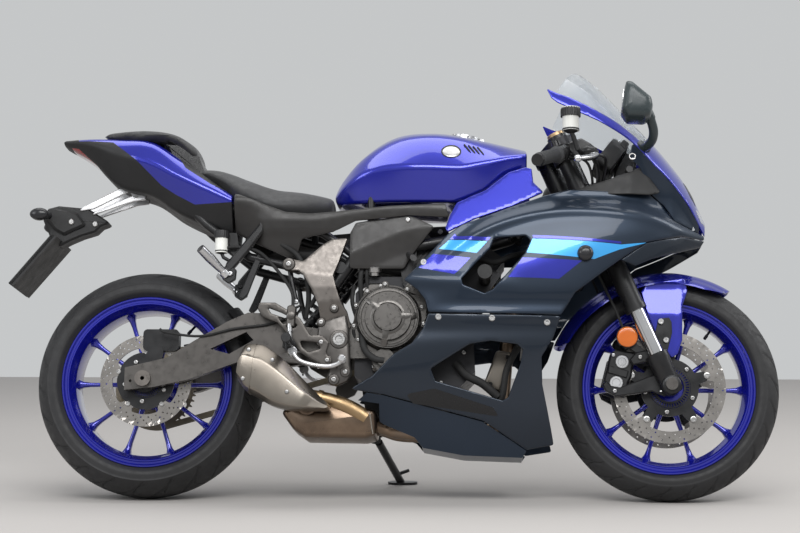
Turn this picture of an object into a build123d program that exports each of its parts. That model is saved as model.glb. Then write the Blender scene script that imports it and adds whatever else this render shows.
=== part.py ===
from build123d import *

import os
from math import asin, atan2, cos, degrees, hypot, radians, sin, sqrt

# Sport bike, parked on its side stand.
#
# The machine is drawn upright: X forward from the rear axle, Y to its left, Z up from the ground line. When
# every piece is finished, the whole machine is leaned over onto its side stand and moved so that the origin
# lies on the floor under the middle of its box. Lengths are millimetres and angles are degrees.

os.makedirs("parts", exist_ok=True)

# ---------------------------------------------------------------- driving dimensions
LEAN = 12.0  # lean to the left on the side stand
WHEELBASE = 1395.0
CASTER = 23.67
FORK_OFFSET = 36.8  # from the steering axis forward to the fork legs
FORK_SPACING = 105.0  # from the centre plane to each leg

BEAD_RADIUS = 218.5  # where the tyre bead sits
FLANGE_RADIUS = 229.0  # outer edge of the rim flange
FLANGE_WIDTH = 6.0
RIM_WALL = 7.0
TYRE_WALL = 8.0

REAR_RADIUS = 306.0
REAR_WIDTH = 180.0
REAR_RISE = 40.0  # height of the crown above the shoulders
REAR_RIM_WIDTH = 139.7
FRONT_RADIUS = 297.0
FRONT_WIDTH = 120.0
FRONT_RISE = 36.0
FRONT_RIM_WIDTH = 88.9
SPOKE_COUNT = 10
SPOKE_DEPTH = 26.0
SPOKE_ROOT = 25.0
SPOKE_TIP = 15.0

FRONT_AXLE_RADIUS = 10.0
REAR_AXLE_RADIUS = 12.5
AXLE_BORE = 5.5  # radius of the bore right through the rear axle
RUNNING = 0.05  # radial play of a hub on its axle
HUB_SHELL = 16.0  # hub wall round the axle

FRONT_DISC_RADIUS = 149.0
FRONT_DISC_PLACE = 62.0  # from the centre plane
REAR_DISC_RADIUS = 122.5
REAR_DISC_PLACE = 88.0
DISC_THICKNESS = 5.0
DISC_BAND = 38.0  # width of the braking ring
DISC_ROOM = 5.0  # room each side of a turning disc

CHAIN_PITCH = 15.875
REAR_TEETH = 42
FRONT_TEETH = 16
CHAIN_PLACE = 92.0  # chain line from the centre plane
CHAIN_INSIDE = 14.0  # between the inner faces of the link plates
LINK_THICKNESS = 2.5
LINK_HEIGHT = 14.0
ROLLER_RADIUS = 5.0
SPROCKET_THICKNESS = 6.0
DRIVE_SHAFT = (610.0, 415.0)  # output shaft of the gearbox

PIVOT = (516.0, 410.0)  # swingarm pivot
PIVOT_TUBE_RADIUS = 22.0
ARM_INSIDE = 106.0  # inner face of each swingarm leg
ARM_THICKNESS = 26.0
BRACKET_INSIDE = 136.0  # inner face of the pivot brackets
BRACKET_THICKNESS = 14.0

RAIL_PLACE = 118.0  # frame rails from the centre plane
RAIL_RADIUS = 16.0
SEAT_RAIL_RADIUS = 12.0
HEAD_TUBE_RADIUS = 30.0
STEM_RADIUS = 17.0
STEM_PLAY = 0.5
STEM_BORE = 8.0  # hole in the foot of the stem, for a front stand's pin
STEM_BORE_DEPTH = 45.0
LOWER_YOKE = 505.0  # heights along the fork legs from the axle
UPPER_YOKE = 712.0
YOKE_THICKNESS = 28.0
YOKE_GAP = 1.5
FORK_TOP = 738.0
TUBE_RADIUS = 27.0
TUBE_FOOT = 218.0
STANCHION_RADIUS = 20.5
LEG_TOP = 112.0
LEG_RADIUS = 28.0
CLAMP_PLACE = 676.0
CLAMP_HEIGHT = 30.0
CLAMP_RADIUS = 37.0
BAR_RADIUS = 11.0
GRIP_RADIUS = 17.0
GRIP_LENGTH = 122.0
BAR_OFFSET = 41.0  # bar centre ahead of the fork leg
BAR_HEIGHT = 685.0  # bar centre up the fork leg
BAR_END = (1039.0, -352.0, 846.0)

PANEL = 3.0  # wall of the plastic panels

ENGINE_HALF = 112.0
CLUTCH_CENTRE = (650.0, 468.0)
CLUTCH_RADIUS = 84.0
WATER_PUMP = (640.0, 356.0)

STAND_PIVOT = (605.0, 106.0, 182.0)
STAND_FOOT = (668.0, 335.0)  # ahead of the rear axle, and out from the centre plane
STAND_RADIUS = 11.0
STAND_EYE = 17.0  # length of the eye along the hinge
STAND_PIN = 6.0


# ---------------------------------------------------------------- places worked out from them
def right(place):
    """Upright plane at this distance right of the centre plane, facing outwards."""
    return Plane.XZ.offset(place)


def across(station):
    """Plane across the machine at this distance ahead of the rear axle: local x is left, local y is up."""
    return Plane.YZ.offset(station)


def crown_radius(width, rise):
    """Radius of a tyre's crown, from its width and the height of the crown above the shoulders."""
    half = width / 2 - 2
    return (half**2 + rise**2) / (2 * rise)


REAR_CROWN = crown_radius(REAR_WIDTH, REAR_RISE)
FRONT_CROWN = crown_radius(FRONT_WIDTH, FRONT_RISE)
LIFT = REAR_CROWN * (1 - cos(radians(LEAN)))
REAR_AXLE = (0.0, REAR_RADIUS)
# Leaned over, both tyres touch the same floor on their crowns.
FRONT_AXLE = (WHEELBASE, FRONT_RADIUS - (REAR_CROWN - FRONT_CROWN) * (1 / cos(radians(LEAN)) - 1))

UP_FORK = (-sin(radians(CASTER)), cos(radians(CASTER)))
AHEAD_FORK = (cos(radians(CASTER)), sin(radians(CASTER)))


def on_leg(height, ahead=0.0):
    """Side-view place at this height up the fork legs from the front axle, and this far ahead of them."""
    return (
        FRONT_AXLE[0] + height * UP_FORK[0] + ahead * AHEAD_FORK[0],
        FRONT_AXLE[1] + height * UP_FORK[1] + ahead * AHEAD_FORK[1],
    )


def fork_plane(height):
    """Plane square to the steering axis, its origin on that axis: local x is ahead, local y is left."""
    x, z = on_leg(height, -FORK_OFFSET)
    return Plane(origin=(x, 0, z), x_dir=(AHEAD_FORK[0], 0, AHEAD_FORK[1]), z_dir=(UP_FORK[0], 0, UP_FORK[1]))


def axle_plane(axle):
    """Half plane up from an axle: local x is left, local y is the radius."""
    return Plane(origin=(axle[0], 0, axle[1]), x_dir=(0, 1, 0), z_dir=(1, 0, 0))


def wheel_plane(axle, place):
    """Side plane centred on an axle, at this distance right of the centre plane, facing outwards."""
    return Plane(origin=(axle[0], -place, axle[1]), x_dir=(1, 0, 0), z_dir=(0, -1, 0))


def axle_line(axle):
    return Axis((axle[0], 0, axle[1]), (0, 1, 0))


def rod(start, end, radius):
    """Straight round bar between two points; add() puts it into the part being made."""
    path = Vector(*end) - Vector(*start)
    plane = Plane(origin=start, z_dir=path)
    with BuildPart() as bar:
        with BuildSketch(plane):
            Circle(radius)
        extrude(amount=path.length)
    return bar.part


def pipe(points, radius, bend):
    """Bent round tube, solid, along straight runs joined by arcs."""
    with BuildLine() as path:
        FilletPolyline(*points, radius=bend)
    with BuildPart() as tube:
        with BuildSketch(Plane(origin=path.line @ 0, z_dir=path.line % 0)):
            Circle(radius)
        sweep(path=path.line)
    return tube.part


def plate(outline, place, thickness):
    """Flat plate of this side-view outline, its inner face at this distance right of the centre plane."""
    with BuildPart() as sheet:
        with BuildSketch(right(place)):
            with BuildLine():
                Polyline(*outline, close=True)
            make_face()
        extrude(amount=thickness)
    return sheet.part


def prism(outline, inner=0.0, outer=400.0):
    """Right-hand cutting prism of this side-view outline."""
    return plate(outline, inner, outer - inner)


def arch(station, flank, crown):
    """Closed section across the machine: flanks up through (half width, height), and an arc on top."""
    starboard = [(-half, height) for half, height in flank]
    port = [(half, height) for half, height in flank]
    with BuildSketch(across(station)) as section:
        with BuildLine():
            Polyline(*starboard)
            ThreePointArc(starboard[-1], (0, crown), port[-1])
            Polyline(*port)
            Line(starboard[0], port[0])
        make_face()
    return section.sketch


def guard(axle, radius, half, drop, wall, low, high):
    """Arched mudguard over a wheel between two angles up from straight ahead; its edges drop away."""
    turn = radians(high)
    start = Plane(origin=(axle[0], 0, axle[1]), x_dir=(0, 1, 0), z_dir=(sin(turn), 0, -cos(turn)))
    with BuildPart() as shell:
        with BuildSketch(start):
            with BuildLine():
                ThreePointArc((-half, radius - drop), (0, radius), (half, radius - drop))
                Line((half, radius - drop), (half - wall, radius - drop))
                ThreePointArc((half - wall, radius - drop), (0, radius - wall), (wall - half, radius - drop))
                Line((wall - half, radius - drop), (-half, radius - drop))
            make_face()
        revolve(axis=axle_line(axle), revolution_arc=high - low)
    return shell.part


def body_of(rows, ruled=False):
    """Solid through arch sections: each row is station, flank and crown."""
    with BuildPart() as body:
        loft(sections=[arch(*row) for row in rows], ruled=ruled)
    return body.part


# ---------------------------------------------------------------- wheels
def tyre(axle, radius, width, rise, rim_width):
    """Tubeless tyre: bead, sidewalls and a round crown, hollow inside."""
    bead = rim_width / 2
    shoulder = radius - rise
    half = width / 2 - 2
    bulge = (shoulder + FLANGE_RADIUS) / 2 + 4
    with BuildPart() as ring:
        with BuildSketch(axle_plane(axle)):
            for inset, mode in ((0.0, Mode.ADD), (TYRE_WALL, Mode.SUBTRACT)):
                foot, edge = bead - inset, half - inset
                with BuildLine():
                    Line((-foot, BEAD_RADIUS), (foot, BEAD_RADIUS))
                    Line((foot, BEAD_RADIUS), (foot, FLANGE_RADIUS + 2))
                    ThreePointArc(
                        (foot, FLANGE_RADIUS + 2),
                        (width / 2 - inset, bulge),
                        (edge, shoulder - inset / 2),
                    )
                    ThreePointArc(
                        (edge, shoulder - inset / 2), (0, radius - inset), (-edge, shoulder - inset / 2)
                    )
                    ThreePointArc(
                        (-edge, shoulder - inset / 2),
                        (-width / 2 + inset, bulge),
                        (-foot, FLANGE_RADIUS + 2),
                    )
                    Line((-foot, FLANGE_RADIUS + 2), (-foot, BEAD_RADIUS))
                make_face(mode=mode)
        revolve(axis=axle_line(axle))
    return ring.part


def rim(axle, rim_width, hub_half, flanges, bore):
    """Cast rim: flanged barrel, ten thin spokes and a hub with its disc and sprocket faces."""
    bead = rim_width / 2
    lip = bead + FLANGE_WIDTH
    drop = BEAD_RADIUS - 14
    with BuildPart() as casting:
        with BuildSketch(axle_plane(axle)):
            with BuildLine():
                Polyline(
                    (-lip, FLANGE_RADIUS),
                    (-bead, FLANGE_RADIUS),
                    (-bead, BEAD_RADIUS),
                    (-bead + 14, BEAD_RADIUS),
                    (-bead + 24, drop),
                    (bead - 24, drop),
                    (bead - 14, BEAD_RADIUS),
                    (bead, BEAD_RADIUS),
                    (bead, FLANGE_RADIUS),
                    (lip, FLANGE_RADIUS),
                    (lip, BEAD_RADIUS - RIM_WALL),
                    (bead - 20, drop - RIM_WALL),
                    (-bead + 20, drop - RIM_WALL),
                    (-lip, BEAD_RADIUS - RIM_WALL),
                    close=True,
                )
            make_face()
            with BuildLine():
                Polyline(
                    (-hub_half, bore),
                    (-hub_half, flanges),
                    (-hub_half + 9, flanges),
                    (-hub_half + 14, bore + HUB_SHELL),
                    (hub_half - 14, bore + HUB_SHELL),
                    (hub_half - 9, flanges),
                    (hub_half, flanges),
                    (hub_half, bore),
                    close=True,
                )
            make_face()
        revolve(axis=axle_line(axle))
        root, tip = bore + HUB_SHELL - 3, drop - RIM_WALL + 1
        with BuildSketch(wheel_plane(axle, -SPOKE_DEPTH / 2)):
            with PolarLocations((root + tip) / 2, SPOKE_COUNT):
                Polygon(
                    ((root - tip) / 2, -SPOKE_ROOT / 2),
                    ((tip - root) / 2, -SPOKE_TIP / 2),
                    ((tip - root) / 2, SPOKE_TIP / 2),
                    ((root - tip) / 2, SPOKE_ROOT / 2),
                )
        extrude(amount=SPOKE_DEPTH)
        with BuildSketch(axle_plane(axle)):
            Rectangle(4 * hub_half, bore, align=(Align.CENTER, Align.MIN))
        revolve(axis=axle_line(axle), mode=Mode.SUBTRACT)
    return casting.part


def disc(axle, place, radius, hub_face, seat_radius):
    """Brake disc: outer ring, five carrier arms and a mounting ring against the hub face."""
    inner = radius - DISC_BAND
    with BuildPart() as plates:
        with BuildSketch(wheel_plane(axle, place - DISC_THICKNESS / 2)):
            Circle(radius)
            Circle(inner, mode=Mode.SUBTRACT)
            with PolarLocations((inner + seat_radius) / 2 - 2, 5, start_angle=18):
                Rectangle(inner - seat_radius + 18, 22)
            Circle(seat_radius)
            Circle(seat_radius - 22, mode=Mode.SUBTRACT)
        extrude(amount=DISC_THICKNESS)
        with BuildSketch(wheel_plane(axle, hub_face)):
            Circle(seat_radius)
            Circle(seat_radius - 22, mode=Mode.SUBTRACT)
        extrude(amount=place - DISC_THICKNESS / 2 - hub_face)
    return plates.part


FRONT_HUB_HALF = 56.0
REAR_HUB_HALF = 80.0
DISC_SEAT = 76.0

with BuildPart() as front_tyre:
    add(tyre(FRONT_AXLE, FRONT_RADIUS, FRONT_WIDTH, FRONT_RISE, FRONT_RIM_WIDTH))

with BuildPart() as front_rim:
    add(rim(FRONT_AXLE, FRONT_RIM_WIDTH, FRONT_HUB_HALF, DISC_SEAT, FRONT_AXLE_RADIUS + RUNNING))

with BuildPart() as front_discs:
    add(disc(FRONT_AXLE, FRONT_DISC_PLACE, FRONT_DISC_RADIUS, FRONT_HUB_HALF, DISC_SEAT))
    mirror(about=Plane.XZ)

with BuildPart() as rear_tyre:
    add(tyre(REAR_AXLE, REAR_RADIUS, REAR_WIDTH, REAR_RISE, REAR_RIM_WIDTH))

with BuildPart() as rear_rim:
    add(rim(REAR_AXLE, REAR_RIM_WIDTH, REAR_HUB_HALF, DISC_SEAT, REAR_AXLE_RADIUS + RUNNING))

with BuildPart() as rear_disc:
    add(disc(REAR_AXLE, REAR_DISC_PLACE, REAR_DISC_RADIUS, REAR_HUB_HALF, DISC_SEAT - 10))


# ---------------------------------------------------------------- chain drive
def pitch_radius(teeth):
    return CHAIN_PITCH / (2 * sin(radians(180 / teeth)))


REAR_PITCH = pitch_radius(REAR_TEETH)
FRONT_PITCH = pitch_radius(FRONT_TEETH)
SHAFT_RUN = hypot(DRIVE_SHAFT[0] - REAR_AXLE[0], DRIVE_SHAFT[1] - REAR_AXLE[1])
SHAFT_RISE = degrees(atan2(DRIVE_SHAFT[1] - REAR_AXLE[1], DRIVE_SHAFT[0] - REAR_AXLE[0]))
RUN_SPREAD = degrees(asin((REAR_PITCH - FRONT_PITCH) / SHAFT_RUN))
RUN_LENGTH = sqrt(SHAFT_RUN**2 - (REAR_PITCH - FRONT_PITCH) ** 2)


def chain_loop(extra):
    """Side view of the closed chain line round both sprockets, grown by this much."""
    with BuildSketch(Plane.XZ) as loop:
        with Locations(REAR_AXLE):
            Circle(REAR_PITCH + extra)
        with Locations(DRIVE_SHAFT):
            Circle(FRONT_PITCH + extra)
        make_hull()
    return loop.sketch


with BuildPart() as rear_sprocket:
    with BuildSketch(wheel_plane(REAR_AXLE, -CHAIN_PLACE - SPROCKET_THICKNESS / 2)):
        Circle(REAR_PITCH - ROLLER_RADIUS)
        with PolarLocations(REAR_PITCH - 2, REAR_TEETH):
            Polygon((-5, -4.2), (5, -1.6), (5, 1.6), (-5, 4.2))
        Circle(DISC_SEAT - 26, mode=Mode.SUBTRACT)
        with PolarLocations(DISC_SEAT + 8, 6, start_angle=30):
            Circle(11, mode=Mode.SUBTRACT)
    extrude(amount=SPROCKET_THICKNESS)
    with BuildSketch(wheel_plane(REAR_AXLE, -REAR_HUB_HALF)):
        Circle(DISC_SEAT - 8)
        Circle(DISC_SEAT - 26, mode=Mode.SUBTRACT)
    extrude(amount=-(CHAIN_PLACE - SPROCKET_THICKNESS / 2 - REAR_HUB_HALF))

with BuildPart() as chain:
    for inner in (CHAIN_PLACE - CHAIN_INSIDE / 2 - LINK_THICKNESS, CHAIN_PLACE + CHAIN_INSIDE / 2):
        with BuildSketch(Plane.XZ.offset(-inner)):
            add(chain_loop(LINK_HEIGHT / 2))
            add(chain_loop(-LINK_HEIGHT / 2), mode=Mode.SUBTRACT)
        extrude(amount=-LINK_THICKNESS)
    with BuildSketch(Plane.XZ.offset(-(CHAIN_PLACE - CHAIN_INSIDE / 2))):
        for side in (1, -1):
            slope = SHAFT_RISE - side * RUN_SPREAD
            for step in range(5, int(RUN_LENGTH / CHAIN_PITCH) - 4):
                along = step * CHAIN_PITCH
                u = REAR_AXLE[0] + along * cos(radians(slope)) - side * REAR_PITCH * sin(radians(slope))
                v = REAR_AXLE[1] + along * sin(radians(slope)) + side * REAR_PITCH * cos(radians(slope))
                with Locations((u, v)):
                    Circle(ROLLER_RADIUS)
    extrude(amount=-CHAIN_INSIDE)


# ---------------------------------------------------------------- tank, seats and tail
# Rows: station, flank of (half width, height) from the base up, crown.
TANK = (
    (497.0, ((58, 792), (70, 812), (52, 832)), 843.0),
    (560.0, ((104, 788), (128, 848), (88, 900)), 921.0),
    (650.0, ((132, 787), (158, 868), (112, 955)), 988.0),
    (760.0, ((146, 787), (178, 878), (122, 974)), 1003.0),
    (880.0, ((150, 800), (172, 884), (118, 960)), 986.0),
    (1018.0, ((126, 868), (138, 892), (96, 934)), 952.0),
)
RIDER_SEAT = (
    (112.0, ((62, 870), (80, 882), (58, 893)), 898.0),
    (180.0, ((96, 838), (122, 858), (84, 884)), 893.0),
    (260.0, ((112, 806), (142, 828), (104, 852)), 861.0),
    (340.0, ((116, 784), (146, 800), (108, 824)), 833.0),
    (420.0, ((98, 782), (122, 798), (92, 822)), 831.0),
    (492.0, ((54, 794), (60, 806), (46, 816)), 824.0),
)
PILLION_SEAT = (
    (-147.0, ((62, 978), (78, 984), (60, 992)), 998.0),
    (-50.0, ((86, 972), (104, 980), (82, 996)), 1003.0),
    (60.0, ((92, 962), (112, 972), (88, 984)), 992.0),
    (118.0, ((80, 900), (96, 925), (80, 945)), 955.0),
)
TAIL = (
    (-262.0, ((24, 970), (36, 978), (26, 984)), 988.0),
    (-180.0, ((46, 922), (82, 962), (66, 980)), 985.0),
    (-100.0, ((62, 848), (110, 930), (92, 972)), 980.0),
    (0.0, ((76, 815), (130, 895), (108, 958)), 972.0),
    (70.0, ((84, 768), (138, 860), (112, 915)), 925.0),
    (225.0, ((92, 700), (146, 790), (130, 806)), 812.0),
)
TAIL_BLUE = (
    (-225.0, 996.0),
    (-210.0, 974.0),
    (-137.0, 968.0),
    (-60.0, 910.0),
    (-5.0, 856.0),
    (38.0, 822.0),
    (102.0, 798.0),
    (228.0, 796.0),
    (228.0, 806.0),
    (105.0, 868.0),
    (88.0, 905.0),
    (40.0, 962.0),
    (20.0, 996.0),
)
TAIL_LAMP = (
    (-262.0, 991.0),
    (-268.0, 970.0),
    (-172.0, 902.0),
    (-125.0, 845.0),
    (-113.0, 850.0),
    (-158.0, 918.0),
    (-240.0, 984.0),
)
FUEL_CAP = (850.0, 0.0, 991.0)
CAP_RADIUS = 42.0
CAP_TILT = 8.0
CAP_GAP = 1.0
CAP_HINGE = 47.0  # from the cap's middle forward to its hinge
CAP_KNUCKLE = 4.0


def cap_plane(height=0.0):
    """Plane of the filler, square to the tank's top: local x runs forward down its slope."""
    tilt = radians(CAP_TILT)
    x, y, z = FUEL_CAP
    return Plane(
        origin=(x + height * sin(tilt), y, z + height * cos(tilt)),
        x_dir=(cos(tilt), 0, -sin(tilt)),
        z_dir=(sin(tilt), 0, cos(tilt)),
    )


with BuildPart() as fuel_tank:
    add(body_of(TANK))
    with BuildSketch(cap_plane(-6)):
        Circle(CAP_HINGE + CAP_KNUCKLE + 3)
    extrude(amount=40, mode=Mode.SUBTRACT)
    with BuildSketch(cap_plane(-6)):
        Circle(CAP_RADIUS - 6)
    extrude(amount=3)
    with BuildSketch(cap_plane(-3)):
        Circle(CAP_RADIUS - 16)
    extrude(amount=-40, mode=Mode.SUBTRACT)

with BuildPart() as fuel_cap:
    with BuildSketch(cap_plane(-3 + CAP_GAP)):
        Circle(CAP_RADIUS)
        with Locations(((CAP_RADIUS + CAP_HINGE) / 2 - 4, 0)):
            Rectangle(CAP_HINGE - CAP_RADIUS + 8, 22)
    extrude(amount=2 * CAP_KNUCKLE)
    knuckle = cap_plane(-3 + CAP_GAP + CAP_KNUCKLE).location * Location((CAP_HINGE, 0, 0))
    with BuildSketch(Plane(knuckle).rotated((90, 0, 0)).offset(-11)):
        Circle(CAP_KNUCKLE)
    extrude(amount=22)
    with BuildSketch(cap_plane(-3 + CAP_GAP)):
        Circle(CAP_RADIUS - 26)
    extrude(amount=-10)
    with BuildSketch(cap_plane(5 + CAP_GAP)):
        Rectangle(20, 12)
    extrude(amount=3)

with BuildPart() as rider_seat:
    add(body_of(RIDER_SEAT))

with BuildPart() as pillion_seat:
    add(body_of(PILLION_SEAT))


# ---------------------------------------------------------------- fairing
# Rows: station, flank of (half width, height) from the keel up, crown.
FAIRING = (
    (530.0, ((70, 170), (150, 270), (168, 420), (150, 560)), 600.0),
    (850.0, ((74, 112), (166, 250), (212, 520), (192, 740)), 775.0),
    (1080.0, ((70, 104), (160, 230), (236, 600), (194, 818)), 850.0),
    (1250.0, ((60, 300), (150, 400), (214, 670), (168, 832)), 862.0),
    (1390.0, ((44, 480), (104, 560), (152, 692), (112, 806)), 830.0),
    (1506.0, ((8, 640), (16, 680), (26, 712), (14, 742)), 750.0),
)
UPPER_OUTLINE = (
    (691.0, 563.0),
    (805.0, 684.0),
    (843.0, 711.0),
    (975.0, 760.0),
    (1065.0, 791.0),
    (1130.0, 806.0),
    (1345.0, 804.0),
    (1383.0, 777.0),
    (1412.0, 736.0),
    (1500.0, 712.0),
    (1500.0, 700.0),
    (1430.0, 694.0),
    (1330.0, 664.0),
    (1255.0, 610.0),
    (1140.0, 522.0),
    (1103.0, 463.0),
    (880.0, 470.0),
    (757.0, 474.0),
    (749.0, 507.0),
    (728.0, 535.0),
)
UPPER_WINDOW = (
    (930.0, 672.0),
    (1012.0, 676.0),
    (1024.0, 662.0),
    (1008.0, 626.0),
    (926.0, 532.0),
    (905.0, 522.0),
    (848.0, 545.0),
    (844.0, 562.0),
    (878.0, 600.0),
    (918.0, 642.0),
)
LOWER_OUTLINE = (
    (757.0, 473.0),
    (880.0, 469.0),
    (1103.0, 462.0),
    (1082.0, 403.0),
    (1053.0, 357.0),
    (1055.0, 286.0),
    (1069.0, 221.0),
    (1087.0, 137.0),
    (1016.0, 125.0),
    (900.0, 196.0),
    (640.0, 262.0),
    (550.0, 276.0),
    (610.0, 310.0),
    (665.0, 366.0),
    (713.0, 394.0),
    (745.0, 437.0),
)
LOWER_WINDOW = (
    (764.0, 327.0),
    (866.0, 390.0),
    (918.0, 398.0),
    (990.0, 388.0),
    (1004.0, 374.0),
    (998.0, 340.0),
    (966.0, 254.0),
    (952.0, 246.0),
    (776.0, 296.0),
)
BELLY_OUTLINE = (
    (596.0, 268.0),
    (640.0, 261.0),
    (900.0, 195.0),
    (1015.0, 124.0),
    (1000.0, 100.0),
    (830.0, 100.0),
    (760.0, 110.0),
    (720.0, 158.0),
    (640.0, 190.0),
    (560.0, 240.0),
)
CHIN_OUTLINE = (
    (1500.0, 699.0),
    (1430.0, 693.0),
    (1331.0, 663.0),
    (1262.0, 614.0),
    (1300.0, 600.0),
    (1345.0, 622.0),
    (1420.0, 652.0),
    (1490.0, 682.0),
)
# Rows: station, half width and height of the edge, crown.
CANOPY = (
    (1070.0, 200.0, 1050.0, 1216.0),
    (1185.0, 196.0, 990.0, 1155.0),
    (1300.0, 184.0, 922.0, 1038.0),
    (1400.0, 150.0, 836.0, 925.0),
    (1460.0, 98.0, 766.0, 842.0),
    (1506.0, 24.0, 702.0, 746.0),
)
SCREEN_WALL = 3.0
SCREEN_OUTLINE = (
    (1096.0, 1072.0),
    (1200.0, 1018.0),
    (1300.0, 962.0),
    (1372.0, 903.0),
    (1436.0, 900.0),
    (1500.0, 1000.0),
    (1200.0, 1300.0),
    (1178.0, 1170.0),
)
NOSE_OUTLINE = (
    (1070.0, 1084.0),
    (1078.0, 1066.0),
    (1098.0, 1044.0),
    (1160.0, 1012.0),
    (1235.0, 972.0),
    (1300.0, 930.0),
    (1400.0, 846.0),
    (1460.0, 776.0),
    (1510.0, 700.0),
    (1520.0, 1000.0),
    (1436.0, 900.0),
    (1372.0, 903.0),
    (1300.0, 962.0),
    (1200.0, 1018.0),
    (1096.0, 1072.0),
)


def thinner(rows, wall):
    """The same arch sections, one wall inside."""
    inside = []
    for station, flank, crown in rows:
        keel = flank[0]
        walls = [(keel[0] - wall, keel[1] + wall)] + [(half - wall, height) for half, height in flank[1:]]
        inside.append((station, walls, crown - wall))
    return inside


def crescent(station, half, edge, crown):
    """Thin arched section across the nose."""
    with BuildSketch(across(station)) as section:
        with BuildLine():
            ThreePointArc((-half, edge), (0, crown), (half, edge))
            Line((half, edge), (half - SCREEN_WALL, edge))
            ThreePointArc((half - SCREEN_WALL, edge), (0, crown - SCREEN_WALL), (SCREEN_WALL - half, edge))
            Line((SCREEN_WALL - half, edge), (-half, edge))
        make_face()
    return section.sketch


fairing_form = body_of(FAIRING, ruled=True)
fairing_inside = body_of(thinner(FAIRING, PANEL), ruled=True)
with BuildPart() as fairing_shell:
    add(fairing_form)
    add(fairing_inside, mode=Mode.SUBTRACT)

with BuildPart() as canopy_shell:
    loft(sections=[crescent(*row) for row in CANOPY], ruled=True)

with BuildPart() as upper_fairings:
    add(fairing_shell.part)
    add(prism(UPPER_OUTLINE), mode=Mode.INTERSECT)
    add(prism(UPPER_WINDOW), mode=Mode.SUBTRACT)
    mirror(about=Plane.XZ)

with BuildPart() as lower_fairings:
    add(fairing_shell.part)
    add(prism(LOWER_OUTLINE), mode=Mode.INTERSECT)
    add(prism(LOWER_WINDOW), mode=Mode.SUBTRACT)
    mirror(about=Plane.XZ)

with BuildPart() as belly_pan:
    add(fairing_shell.part)
    add(prism(BELLY_OUTLINE, -400, 400), mode=Mode.INTERSECT)
    # cut-out round the exhaust collector
    add(prism(((540, 100), (540, 300), (628, 300), (628, 100)), -36, 138), mode=Mode.SUBTRACT)

with BuildPart() as windscreen:
    add(canopy_shell.part)
    add(prism(SCREEN_OUTLINE, -400, 400), mode=Mode.INTERSECT)

with BuildPart() as nose_cowl:
    add(canopy_shell.part)
    add(prism(NOSE_OUTLINE, -400, 400), mode=Mode.INTERSECT)


# ---------------------------------------------------------------- engine and exhaust
CRANKCASE = (
    (560.0, 318.0),
    (560.0, 540.0),
    (600.0, 585.0),
    (700.0, 585.0),
    (770.0, 560.0),
    (872.0, 470.0),
    (880.0, 330.0),
    (820.0, 268.0),
    (640.0, 262.0),
)
CYLINDER_FOOT = (790.0, 490.0)
CYLINDER_LEAN = 34.0  # forward from upright
# Rows: from, to (up the cylinders), length fore and aft, half width.
CYLINDER_STACK = ((0.0, 100.0, 128.0, 98.0), (100.0, 176.0, 146.0, 94.0), (176.0, 218.0, 112.0, 86.0))
GEARBOX_FACE = 74.0
SUMP_HALF = 78.0


def up_cylinders(height, ahead=0.0):
    """Side-view place this far up the cylinders, and this far ahead of their middle."""
    lean = radians(CYLINDER_LEAN)
    return (
        CYLINDER_FOOT[0] + height * sin(lean) + ahead * cos(lean),
        CYLINDER_FOOT[1] + height * cos(lean) - ahead * sin(lean),
    )


with BuildPart() as engine:
    add(plate(CRANKCASE, -GEARBOX_FACE, GEARBOX_FACE + ENGINE_HALF))
    with BuildSketch(Plane.XZ.offset(-ENGINE_HALF)):
        with BuildLine():
            Polyline(
                (690, 266),
                (690, 585),
                (700, 585),
                (770, 560),
                (872, 470),
                (880, 330),
                (820, 268),
                close=True,
            )
        make_face()
    extrude(amount=ENGINE_HALF)
    for low, high, length, half in CYLINDER_STACK:
        with BuildSketch(right(-half)):
            with BuildLine():
                Polyline(
                    up_cylinders(low - 20, -length / 2),
                    up_cylinders(high, -length / 2),
                    up_cylinders(high, length / 2),
                    up_cylinders(low - 20, length / 2),
                    close=True,
                )
            make_face()
        extrude(amount=2 * half)
    # oil sump
    with BuildSketch(right(-SUMP_HALF)):
        with BuildLine():
            Polyline((660, 270), (680, 222), (800, 222), (830, 280), close=True)
        make_face()
    extrude(amount=2 * SUMP_HALF)
    # cooling fins of the barrel, all round
    for step in range(5):
        with BuildSketch(right(-CYLINDER_STACK[0][3] - 5)):
            with BuildLine():
                half = CYLINDER_STACK[0][2] / 2 + 5
                low = 26 + 14 * step
                Polyline(
                    up_cylinders(low, -half),
                    up_cylinders(low + 5, -half),
                    up_cylinders(low + 5, half),
                    up_cylinders(low, half),
                    close=True,
                )
            make_face()
        extrude(amount=2 * (CYLINDER_STACK[0][3] + 5))
    # output shaft with its sprocket
    with BuildSketch(wheel_plane(DRIVE_SHAFT, -GEARBOX_FACE)):
        Circle(14)
    extrude(amount=-(CHAIN_PLACE + SPROCKET_THICKNESS / 2 + 8 - GEARBOX_FACE))
    with BuildSketch(wheel_plane(DRIVE_SHAFT, -CHAIN_PLACE + SPROCKET_THICKNESS / 2)):
        Circle(FRONT_PITCH - ROLLER_RADIUS - 2)
    extrude(amount=-SPROCKET_THICKNESS)

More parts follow.
